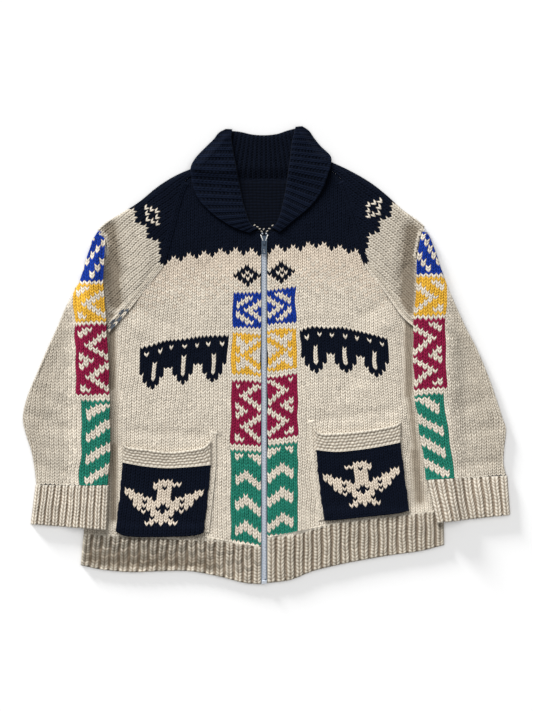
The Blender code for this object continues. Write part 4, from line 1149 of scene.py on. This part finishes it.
def make_lapel(side):
    """One end of the shawl collar, folded over along its inner line."""
    dense = along(side.lapel, np.linspace(0, 1, 80))
    fold, edge = dense[::-1, :2], dense[::-1, 2:4]
    table = np.array(side.lapel, float)[:, :4]
    columns, rows = 39, 12

    def place(u, v):
        row = along(table, rib_run(u) / rib_run(columns))
        return between(row[..., :2], row[..., 2:], 1 - v / rows)

    def heights(px, py):
        gap = (dense[:, 0][:, None] - px.ravel()) ** 2 + (dense[:, 1][:, None] - py.ravel()) ** 2
        out = (dense[:, 2][:, None] - px.ravel()) ** 2 + (dense[:, 3][:, None] - py.ravel()) ** 2
        nearest = (np.sqrt(gap) + np.sqrt(out)).argmin(axis=0)
        perch = dense[nearest, 4]
        share = np.sqrt(out[nearest, np.arange(px.size)])
        top = perch + DOUBLE - dense[nearest, 5] * ease(1 - share / 16.0)
        return np.minimum(perch, top - WALL).reshape(px.shape), top.reshape(px.shape)

    def lie(px, py):
        return heights(px, py)[0]

    def thick(px, py):
        low, top = heights(px, py)
        return top - low

    # The lapels' navy is lightened as painted light
    cloth = Cloth(f"{side.name}_lapel", columns, rows, place,
                  four_edges(fold, edge, "fold rim rim rim"), lie, thick, ribbed, only(LIT_NAVY),
                  rib_rise=0.45, relief=2.0, seed=81 + (side is LEFT))
    dress(weave(cloth), f"lapel_{side.name}")


def make_collar_back():
    """The collar behind the neck, thin at its seam and turned over at its fold."""
    fold, neck = smooth(COLLAR_FOLD, 60), smooth(BACK_NECK, 60)
    first, last = COLLAR_SEAM_ENDS
    seam_x = first + np.linspace(0, 1, 60) * (last - first)
    seam = np.column_stack([seam_x, np.interp(seam_x, neck[:, 0], neck[:, 1]) + GAP])
    columns, rows = 33, 17

    def place(u, v):
        across = rib_run(u) / rib_run(columns)
        return between(at_share(seam, across), at_share(fold, across), v / rows)

    def thick(px, py):
        low = np.interp(px, seam[:, 0], seam[:, 1])
        high = np.interp(px, fold[:, 0], fold[:, 1])
        return DOUBLE - (WALL + GAP) * (1 - ease((py - low) / (high - low) / 0.3))

    cloth = Cloth("back_collar", columns, rows, place,
                  four_edges(fold[::-1], seam[::-1], "fold rim rim rim"), 0.0, thick, ribbed,
                  only(NAVY), rib_rise=0.45, relief=2.3, seed=83)
    dress(weave(cloth), "collar_back")


# ---- pockets


def pocket_chart(column, row):
    """Colours of a pocket: one bird on a plain ground."""
    return np.where(marks(BIRD, column, row - 4), ROSE, NAVY)


def make_pocket(side):
    """Patch pocket, whose foot rides a little up on the hem's seam."""
    table = side.pocket
    near, far = smooth(table.foot, 40), smooth(table.mouth_base, 40) - (0, 0.02)
    left = wobbled(smooth(table.outer, 40)[::-1], 0.9, 3 + side.sign)
    right = wobbled(smooth(table.inner, 40)[::-1], 0.9, 7 + side.sign)
    left[0], right[0], left[-1], right[-1] = near[0], near[-1], far[0], far[-1]
    columns, rows = 19, 23

    def place(u, v):
        s, t = (u / columns)[..., None], (v / rows)[..., None]
        sides = (1 - s) * at_share(left, v / rows) + s * at_share(right, v / rows)
        ends = (1 - t) * at_share(near, u / columns) + t * at_share(far, u / columns)
        corners = ((1 - t) * ((1 - s) * near[0] + s * near[-1])
                   + t * ((1 - s) * far[0] + s * far[-1]))
        return xy(sides + ends - corners)

    foot_y = min(p.y for p in table.foot)

    def lie(px, py):
        return ON_FRONT + 1.9 * ease((foot_y + 26.0 - py) / 14.0)

    edges = [(near, "rim"), (right, "rim"), (far[::-1], "seam"), (left[::-1], "rim")]
    cloth = Cloth(f"{side.name}_pocket", columns, rows, place, edges, lie, WALL, only(KNIT),
                  pocket_chart, relief=2.2, seed=91 + (side is LEFT))
    dress(weave(cloth), f"pocket_{side.name}")


def make_pocket_band(side):
    """Garter band along a pocket's mouth, thickest at its upper edge."""
    base = smooth(side.pocket.mouth_base, 40) + (0, 0.02)
    top = smooth(side.pocket.mouth_top, 40)
    columns, rows = 22, 6

    def place(u, v):
        u, v = swayed(u, v, columns, rows, 9 + side.sign, 0.35)
        return between(at_share(base, u / columns), at_share(top, u / columns), v / rows)

    def thick(px, py):
        return WALL + 0.9 + 1.5 * (1 - ease((distance(top, px, py) - 1.5) / 5.5))

    cloth = Cloth(f"{side.name}_pocket_band", columns, rows, place,
                  four_edges(base, top, "seam rim rim rim"), ON_FRONT, thick, only(SEED),
                  only(DARKER_CREAM), relief=1.8, seed=95 + (side is LEFT))
    dress(weave(cloth), f"pocket_band_{side.name}")


def make_pocket_cord(side):
    """Edge stitches that stand up beside a pocket's inner edge and past its band's corner."""
    top = side.pocket.mouth_top[-1]
    inner = np.array(side.pocket.inner, float)
    line = smooth(np.vstack([(top.x - side.sign * 2.0, top.y + 14), (top.x, top.y), inner]), 70)
    make_braid(f"{side.name}_pocket_cord", line, -side.sign * 3.3, 9.0, only(CREAM),
               97 + (side is LEFT))


# ---- zip

# Half a tooth's length as a share of the pitch, and the tape's and teeth's reach sideways, as
# least and greatest distance from the zip's middle, and in height
TOOTH_SHARE = 0.34
TAPE_REACH, TAPE_LEVELS = (0.2, 4.4), (6.6, 7.4)
TEETH_REACH, TEETH_LEVELS = (-0.9, 2.8), (6.9, 9.9)
METAL_PARTS = (
    ("zip_slider", "slider_enamel", 0.5), ("zip_pull", "slider_enamel", 0.4),
    ("zip_stop_right", "zip_teeth", 0.3), ("zip_stop_left", "zip_teeth", 0.3),
    ("zip_pin_box", "zip_teeth", 0.4),
)


def add_block(verts, faces, across, along_y, levels, chamfer):
    """Adds a block with chamfered upper edges to lists of points and faces."""
    (x0, x1), (y0, y1), (z0, z1) = sorted(across), along_y, levels
    start = len(verts)
    for z, inset in ((z0, 0.0), (z1 - chamfer, 0.0), (z1, chamfer)):
        verts += [(x0 + inset, y0 + inset, z), (x1 - inset, y0 + inset, z),
                  (x1 - inset, y1 - inset, z), (x0 + inset, y1 - inset, z)]
    for level in (start, start + 4):
        for k in range(4):
            n = (k + 1) % 4
            faces.append([level + k, level + n, level + 4 + n, level + 4 + k])
    faces.append([start + 3, start + 2, start + 1, start])
    faces.append([start + 8, start + 9, start + 10, start + 11])


def make_zip_half(side):
    """Tape and teeth of one half of the zip."""
    foot = -366.0 if side is RIGHT else -364.0
    tape, teeth = ([side.sign * reach + ZIP_X for reach in reaches]
                   for reaches in (TAPE_REACH, TEETH_REACH))
    verts, faces = [], []
    add_block(verts, faces, tape, (foot, ZIP_TOP - 7), TAPE_LEVELS, 0.15)
    tape_faces = len(faces)
    pitch = bpy.context.scene.cardigan.tooth_pitch / MM
    half = TOOTH_SHARE * pitch
    y = foot + 6 + (0.0 if side is RIGHT else pitch / 2)
    while y < ZIP_TOP - 9:
        add_block(verts, faces, teeth, (y - half, y + half), TEETH_LEVELS, 0.45)
        y += pitch
    mesh = bpy.data.meshes.new(f"{side.name}_zip")
    mesh.from_pydata((np.array(verts) * MM).tolist(), [], faces)
    for material in ("zip_tape", "zip_teeth"):
        mesh.materials.append(bpy.data.materials[material])
    mesh.polygons.foreach_set("material_index",
                              [0] * tape_faces + [1] * (len(faces) - tape_faces))
    made = put(f"{side.name}_zip", mesh)
    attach(made, "garment")
    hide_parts(f"zip_{side.name}")


def bean(verts, faces, middle, run, length, radius):
    """Adds a stub of yarn with rounded ends."""
    start, rings, sides = len(verts), 5, 6
    run = np.array(run, float) / np.linalg.norm(run)
    flat = np.cross(run, (0, 0, 1.0))
    up = np.cross(flat, run)
    for k in range(rings):
        t = (k + 0.5) / rings * 2 - 1
        r = radius * math.sqrt(1 - 0.92 * t * t)
        for j in range(sides):
            a = 2 * math.pi * j / sides
            point = (np.array(middle) + run * length / 2 * t
                     + r * (math.cos(a) * flat + math.sin(a) * up))
            verts.append(tuple(point))
    for k in range(rings - 1):
        for j in range(sides):
            n = (j + 1) % sides
            faces.append([start + k * sides + j, start + (k + 1) * sides + j,
                          start + (k + 1) * sides + n, start + k * sides + n])
    faces.append([start + j for j in range(sides)])
    faces.append([start + (rings - 1) * sides + j for j in range(sides)][::-1])


# Stitches of cream yarn that show where the zip's top is sewn in: place and direction
FLOATS = (
    (-7.6, 196.8, 0.9, -0.6), (-10.8, 201.0, 1.0, 0.2), (-14.4, 204.2, 1.0, -0.3),
    (-19.2, 206.8, 0.8, 0.5), (1.0, 197.4, 0.9, 0.6), (4.6, 201.4, 1.0, -0.2),
    (9.6, 206.4, 0.9, 0.6), (-4.4, 200.4, 0.6, 0.8),
)


def make_zip_ends():
    """Splayed ends of the tape and the loose stitches round them."""
    verts, faces = [], []
    for sign in (-1, 1):
        for k in range(4):
            low = (ZIP_X + sign * (2.4 + 0.9 * k), 183.0 + 2.4 * k)
            run = (sign * (0.3 + 0.12 * k), 1.0, 0.0)
            bean(verts, faces, (*low, 10.8 + 0.2 * k), run, 4.2, 0.9)
    tape = len(faces)
    for x, y, dx, dy in FLOATS:
        bean(verts, faces, (x, y, 10.2), (dx, dy, 0), 4.4, 1.0)
    s = bpy.context.scene.cardigan
    loose = tuple(0.5 * channel for channel in s.cream)
    tints = np.array([s.zip_end] * tape + [loose] * (len(faces) - tape))
    made = mesh_of("zip_end_stitches", np.array(verts), faces, tints, ["wool"])
    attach(made, "garment")


def make_zip():
    """Both halves of the zip, its sewn upper end and its hard parts."""
    for side in (RIGHT, LEFT):
        make_zip_half(side)
    make_zip_ends()
    finish_metal_nodes()


def finish_metal_nodes():
    """Gives the slider, pull, stops and pin box their finish and rounds their edges."""
    for name, material, width in METAL_PARTS:
        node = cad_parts[name]
        node.data.materials.clear()
        node.data.materials.append(bpy.data.materials[material])
        rounding = node.modifiers.new("rounding", "BEVEL")
        rounding.width = width * MM
        rounding.segments = 2
        rounding.limit_method = "ANGLE"


# ---- materials


def new_group(name, inputs, outputs):
    """A node group with named inputs and outputs."""
    group = bpy.data.node_groups.new(name, "ShaderNodeTree")
    for socket, kind, value in inputs:
        made = group.interface.new_socket(socket, in_out="INPUT", socket_type=kind)
        made.default_value = value
    for socket, kind in outputs:
        group.interface.new_socket(socket, in_out="OUTPUT", socket_type=kind)
    return group


def math_node(tree, operation, *values):
    """A sum of one to three values, each a number or another node's output."""
    node = tree.nodes.new("ShaderNodeMath")
    node.operation = operation
    for value, socket in zip(values, node.inputs):
        if hasattr(value, "links"):
            tree.links.new(value, socket)
        else:
            socket.default_value = value
    return node.outputs[0]


def noise_node(tree, vector, scale, detail):
    """Fine or broad unevenness by place."""
    node = tree.nodes.new("ShaderNodeTexNoise")
    node.inputs["Scale"].default_value = scale
    node.inputs["Detail"].default_value = detail
    node.inputs["Roughness"].default_value = 0.6
    tree.links.new(vector, node.inputs["Vector"])
    return node.outputs["Fac"]


def scaled(tree, value, low, high):
    """A value from 0 to 1 brought to lie between two others."""
    node = tree.nodes.new("ShaderNodeMapRange")
    node.inputs["To Min"].default_value = low
    node.inputs["To Max"].default_value = high
    tree.links.new(value, node.inputs["Value"])
    return node.outputs["Result"]


def yarn_group():
    """Spun wool: fibre flecks, slow unevenness of the fleece and painted shade in the hollows."""
    group = new_group(
        "spun_yarn",
        [("Yarn", "NodeSocketColor", (0.5, 0.5, 0.5, 1)), ("Crown", "NodeSocketFloat", 1.0),
         ("Hollow", "NodeSocketColor", (0.30, 0.25, 0.21, 1))],
        [("Colour", "NodeSocketColor"), ("Height", "NodeSocketFloat"),
         ("Roughness", "NodeSocketFloat")])
    n, link = group.nodes, group.links.new
    given, out = n.new("NodeGroupInput"), n.new("NodeGroupOutput")
    coord = n.new("ShaderNodeTexCoord").outputs["Object"]
    fibre = noise_node(group, coord, 900.0, 3.0)
    fleece = noise_node(group, coord, 20.0, 3.0)
    slub = noise_node(group, coord, 160.0, 2.0)
    tone = math_node(group, "MULTIPLY", scaled(group, fibre, 0.80, 1.20),
                     scaled(group, fleece, 0.93, 1.07))
    tone = math_node(group, "MULTIPLY", tone, scaled(group, slub, 0.92, 1.08))
    # Painted shade: the lower a point lies on the yarn, the more its colour moves towards the
    # hollow tint
    crown = math_node(group, "POWER", given.outputs["Crown"], 0.8)
    hollow = n.new("ShaderNodeVectorMath")
    hollow.operation = "MULTIPLY"
    link(given.outputs["Yarn"], hollow.inputs[0])
    link(given.outputs["Hollow"], hollow.inputs[1])
    mix = n.new("ShaderNodeMix")
    mix.data_type = "RGBA"
    link(crown, mix.inputs["Factor"])
    link(hollow.outputs["Vector"], mix.inputs["A"])
    link(given.outputs["Yarn"], mix.inputs["B"])
    toned = n.new("ShaderNodeVectorMath")
    toned.operation = "SCALE"
    link(mix.outputs["Result"], toned.inputs[0])
    link(tone, toned.inputs["Scale"])
    link(toned.outputs["Vector"], out.inputs["Colour"])
    link(math_node(group, "MULTIPLY_ADD", fibre, 0.6, slub), out.inputs["Height"])
    link(scaled(group, fibre, 0.82, 0.98), out.inputs["Roughness"])
    return group


def stockinette_group():
    """Height of plain knitting on the undersides, by place across the cloth."""
    group = new_group("stockinette", [("Width", "NodeSocketFloat", 0.0069),
                                      ("Row", "NodeSocketFloat", 0.005)],
                      [("Height", "NodeSocketFloat")])
    n, link = group.nodes, group.links.new
    given, out = n.new("NodeGroupInput"), n.new("NodeGroupOutput")
    split = n.new("ShaderNodeSeparateXYZ")
    link(n.new("ShaderNodeTexCoord").outputs["Object"], split.inputs[0])
    across = math_node(group, "DIVIDE", split.outputs["X"], given.outputs["Width"])
    rows = math_node(group, "DIVIDE", split.outputs["Y"], given.outputs["Row"])
    share = math_node(group, "FRACT", across)
    leg = math_node(group, "ABSOLUTE", math_node(group, "MULTIPLY_ADD", share, 2.0, -1.0))
    slope = math_node(group, "SUBTRACT", rows, math_node(group, "MULTIPLY", leg, SLANT))
    step, side = (
        math_node(group, "POWER", math_node(group, "SINE", math_node(
            group, "MULTIPLY", math_node(group, "FRACT", value), math.pi)), 0.5)
        for value in (slope, math_node(group, "MULTIPLY", share, 2.0)))
    link(math_node(group, "MULTIPLY", step, side), out.inputs["Height"])
    return group


def new_material(name):
    """A material's node tree and shader."""
    made = bpy.data.materials.new(name)
    made.use_nodes = True
    return made.node_tree, made.node_tree.nodes["Principled BSDF"]


def put_group(tree, group):
    """Places a node group in a material."""
    node = tree.nodes.new("ShaderNodeGroup")
    node.node_tree = group
    return node


def put_bump(tree, height, shader, distance, strength=1.0):
    """Gives a shader fine relief from a height."""
    bump = tree.nodes.new("ShaderNodeBump")
    bump.inputs["Distance"].default_value = distance
    bump.inputs["Strength"].default_value = strength
    tree.links.new(height, bump.inputs["Height"])
    tree.links.new(bump.outputs["Normal"], shader.inputs["Normal"])


def make_materials():
    """The wool, the wool of the undersides, and the zip's tape and metal."""
    yarn, stitches = yarn_group(), stockinette_group()
    for name in ("wool", "wool_underside"):
        tree, shader = new_material(name)
        link = tree.links.new
        tint = tree.nodes.new("ShaderNodeAttribute")
        tint.attribute_name = "yarn"
        spun = put_group(tree, yarn)
        link(tint.outputs["Color"], spun.inputs["Yarn"])
        link(tint.outputs["Alpha"], spun.inputs["Crown"])
        link(spun.outputs["Colour"], shader.inputs["Base Color"])
        link(spun.outputs["Roughness"], shader.inputs["Roughness"])
        shader.inputs["Sheen Weight"].default_value = 0.012
        shader.inputs["Sheen Roughness"].default_value = 0.5
        shader.inputs["Specular IOR Level"].default_value = 0.06
        height = spun.outputs["Height"]
        if name == "wool_underside":
            # On the undersides the knit pattern stands in for the crown, painting shade into its
            # hollows
            knit = put_group(tree, stitches).outputs["Height"]
            link(knit, spun.inputs["Crown"])
            height = math_node(tree, "MULTIPLY_ADD", knit, 3.0, height)
        put_bump(tree, height, shader, 0.0005)
    s = bpy.context.scene.cardigan
    for name, tone, metallic, rough in (("zip_tape", s.zip_tape, 0.0, 0.7),
                                        ("zip_teeth", s.zip_metal, 0.75, 0.33),
                                        ("slider_enamel", s.slider, 0.6, 0.35)):
        tree, shader = new_material(name)
        shader.inputs["Base Color"].default_value = (*tone, 1)
        shader.inputs["Metallic"].default_value = metallic
        coord = tree.nodes.new("ShaderNodeTexCoord").outputs["Object"]
        grain = noise_node(tree, coord, 700.0, 3.0)
        tree.links.new(scaled(tree, grain, rough - 0.1, rough + 0.15), shader.inputs["Roughness"])
        put_bump(tree, grain, shader, 0.0002, 0.6)


# ---- stage

# What the camera looks at, the height that it sees and how far above it stands, in metres
CENTRE = Vector((0.0, -0.0012, 0.0))
VIEW_HEIGHT = 711 * 1.6 * MM
CAMERA_FAR = 6.0
SENSOR = 24.0
FLOOR_HALF, FLOOR_Z = 12.0, -0.0004
# Name, strength, softness in degrees, way towards it, and what it lights: the floor paper has
# a high light and a low one that casts the broad soft shadow, and all else has the key
STUDIO_LIGHTS = (
    ("key", 5.2, 38, (-0.34, 0.80, 0.56), "not_paper"),
    ("paper_top", 1.85, 60, (0.0, 0.1, 1.0), "paper"),
    ("paper_low", 4.6, 12, (-0.50, 0.68, 0.19), "paper"),
)


def make_stage():
    """Floor paper, soft white surroundings, lights and the camera."""
    floor = bpy.data.meshes.new("floor")
    floor.from_pydata([(x * FLOOR_HALF, y * FLOOR_HALF, FLOOR_Z)
                       for x, y in ((-1, -1), (1, -1), (1, 1), (-1, 1))], [], [(0, 1, 2, 3)])
    placed = put("floor", floor)
    _, shader = new_material("floor_paper")
    shader.inputs["Base Color"].default_value = (0.76, 0.76, 0.76, 1)
    shader.inputs["Roughness"].default_value = 0.9
    shader.inputs["Specular IOR Level"].default_value = 0.1
    floor.materials.append(bpy.data.materials["floor_paper"])
    world = bpy.data.worlds.new("studio")
    bpy.context.scene.world = world
    world.use_nodes = True
    surroundings = world.node_tree.nodes["Background"].inputs
    surroundings["Color"].default_value = (1, 1, 1, 1)
    surroundings["Strength"].default_value = 0.44
    lit_by = {name: bpy.data.collections.new(name) for name in ("paper", "not_paper")}
    for collection in lit_by.values():
        collection.objects.link(placed)
    lit_by["not_paper"].collection_objects[0].light_linking.link_state = "EXCLUDE"
    for name, energy, softness, way, lit in STUDIO_LIGHTS:
        sun = bpy.data.lights.new(name, "SUN")
        sun.energy = energy
        sun.angle = math.radians(softness)
        light = put(name, sun)
        light.rotation_euler = Vector(way).to_track_quat("Z", "Y").to_euler()
        light.light_linking.receiver_collection = lit_by[lit]
    lens = bpy.data.cameras.new("camera")
    lens.sensor_fit = "VERTICAL"
    lens.sensor_height = SENSOR
    lens.lens = SENSOR * CAMERA_FAR / VIEW_HEIGHT
    lens.clip_end = 50.0
    camera = put("camera", lens)
    camera.location = CENTRE + Vector((0, 0, CAMERA_FAR))
    bpy.context.scene.camera = camera
    view = bpy.context.scene.view_settings
    view.view_transform = "Standard"
    view.look = "None"
    view.exposure = 0.0
    view.gamma = 1.0


# ---- add-on


def colour(name, description, default):
    """A colour that a user may change."""
    return FloatVectorProperty(name=name, description=description, default=default, size=3,
                               min=0.0, max=1.0, subtype="COLOR")


def share(name, description):
    """A share that a user may change."""
    return FloatProperty(name=name, description=description, default=1.0, min=0.0, max=1.5,
                         subtype="FACTOR")


class CardiganSettings(bpy.types.PropertyGroup):
    """Sizes and colours of the cardigan that a user would change."""

    stitch_depth: share("Stitch depth", "Depth of the hollows between stitches")
    rib_depth: share("Rib depth", "Height of the ribs of hem, cuffs and collar")
    crease_depth: share("Crease depth", "Height of the soft folds in the cloth")
    tooth_pitch: FloatProperty(name="Tooth pitch", description="Distance between zip teeth",
                               default=2.5 * MM, min=1.5 * MM, max=5 * MM, unit="LENGTH")
    cream: colour("Cream", "Undyed wool of the body", (0.74, 0.685, 0.585))
    navy: colour("Navy", "Yoke, collar and pockets", (0.003, 0.0056, 0.0145))
    blue: colour("Blue", "Upper bands", (0.008, 0.038, 0.31))
    yellow: colour("Yellow", "Second bands", (0.80, 0.46, 0.05))
    crimson: colour("Crimson", "Third bands", (0.26, 0.012, 0.055))
    green: colour("Green", "Lowest bands", (0.02, 0.21, 0.15))
    grey: colour("Grey", "Mending yarn", (0.12, 0.14, 0.17))
    zip_metal: colour("Zip teeth", "Teeth, stops and pin box", (0.68, 0.73, 0.80))
    zip_tape: colour("Zip tape", "Woven tape of the zip", (0.24, 0.28, 0.34))
    zip_end: colour("Zip tape ends", "Splayed white ends of the tape", (0.74, 0.73, 0.70))
    slider: colour("Slider", "Enamel of the slider and its pull", (0.07, 0.10, 0.14))


class CardiganOperator:
    """Makes what is one for the whole garment, and then what each side has."""
    bl_options = {"REGISTER", "UNDO"}
    whole, each_side = (), ()

    def execute(self, context):
        for make in self.whole:
            make()
        for side in (RIGHT, LEFT):
            for make in self.each_side:
                make(side)
        return {"FINISHED"}


class CARDIGAN_OT_materials(CardiganOperator, bpy.types.Operator):
    """Make the wool and zip finishes"""
    bl_idname = "cardigan.materials"
    bl_label = "Finishes"
    whole = (make_materials,)


class CARDIGAN_OT_body(CardiganOperator, bpy.types.Operator):
    """Knit the back, the two fronts and their ribbing"""
    bl_idname = "cardigan.body"
    bl_label = "Body"
    whole, each_side = (make_back, make_inner_back, make_hem_back), (make_front, make_hem)


class CARDIGAN_OT_sleeves(CardiganOperator, bpy.types.Operator):
    """Knit the sleeves and cuffs"""
    bl_idname = "cardigan.sleeves"
    bl_label = "Sleeves"
    each_side = (make_cap, make_raglan_braid, make_sleeve, make_cuff)


class CARDIGAN_OT_collar(CardiganOperator, bpy.types.Operator):
    """Knit the shawl collar"""
    bl_idname = "cardigan.collar"
    bl_label = "Collar"
    whole, each_side = (make_collar_back,), (make_lapel,)


class CARDIGAN_OT_pockets(CardiganOperator, bpy.types.Operator):
    """Knit the patch pockets and their bands"""
    bl_idname = "cardigan.pockets"
    bl_label = "Pockets"
    each_side = (make_pocket, make_pocket_band, make_pocket_cord)


class CARDIGAN_OT_zip(CardiganOperator, bpy.types.Operator):
    """Make the zip's tape and teeth and finish its slider and stops"""
    bl_idname = "cardigan.zip"
    bl_label = "Zip"
    whole = (make_zip,)


class CARDIGAN_OT_stage(CardiganOperator, bpy.types.Operator):
    """Set up the floor, lights and camera"""
    bl_idname = "cardigan.stage"
    bl_label = "Stage"
    whole = (make_stage,)


OPERATORS = (CARDIGAN_OT_stage, CARDIGAN_OT_materials, CARDIGAN_OT_body, CARDIGAN_OT_sleeves,
             CARDIGAN_OT_collar, CARDIGAN_OT_pockets, CARDIGAN_OT_zip)


class CARDIGAN_PT_panel(bpy.types.Panel):
    """Cardigan's pieces and colours"""
    bl_idname = "CARDIGAN_PT_panel"
    bl_label = "Cardigan"
    bl_space_type = "VIEW_3D"
    bl_region_type = "UI"
    bl_category = "Cardigan"

    def draw(self, context):
        for operator in OPERATORS:
            self.layout.operator(operator.bl_idname)
        for name in CardiganSettings.__annotations__:
            self.layout.prop(context.scene.cardigan, name)


CLASSES = (CardiganSettings,) + OPERATORS + (CARDIGAN_PT_panel,)


def register():
    for cls in CLASSES:
        bpy.utils.register_class(cls)
    bpy.types.Scene.cardigan = PointerProperty(type=CardiganSettings)


def unregister():
    del bpy.types.Scene.cardigan
    for cls in reversed(CLASSES):
        bpy.utils.unregister_class(cls)


def main():
    register()
    for step in (bpy.ops.cardigan.stage, bpy.ops.cardigan.materials, bpy.ops.cardigan.body,
                 bpy.ops.cardigan.sleeves, bpy.ops.cardigan.collar, bpy.ops.cardigan.pockets,
                 bpy.ops.cardigan.zip):
        step()


if __name__ == "__main__":
    main()
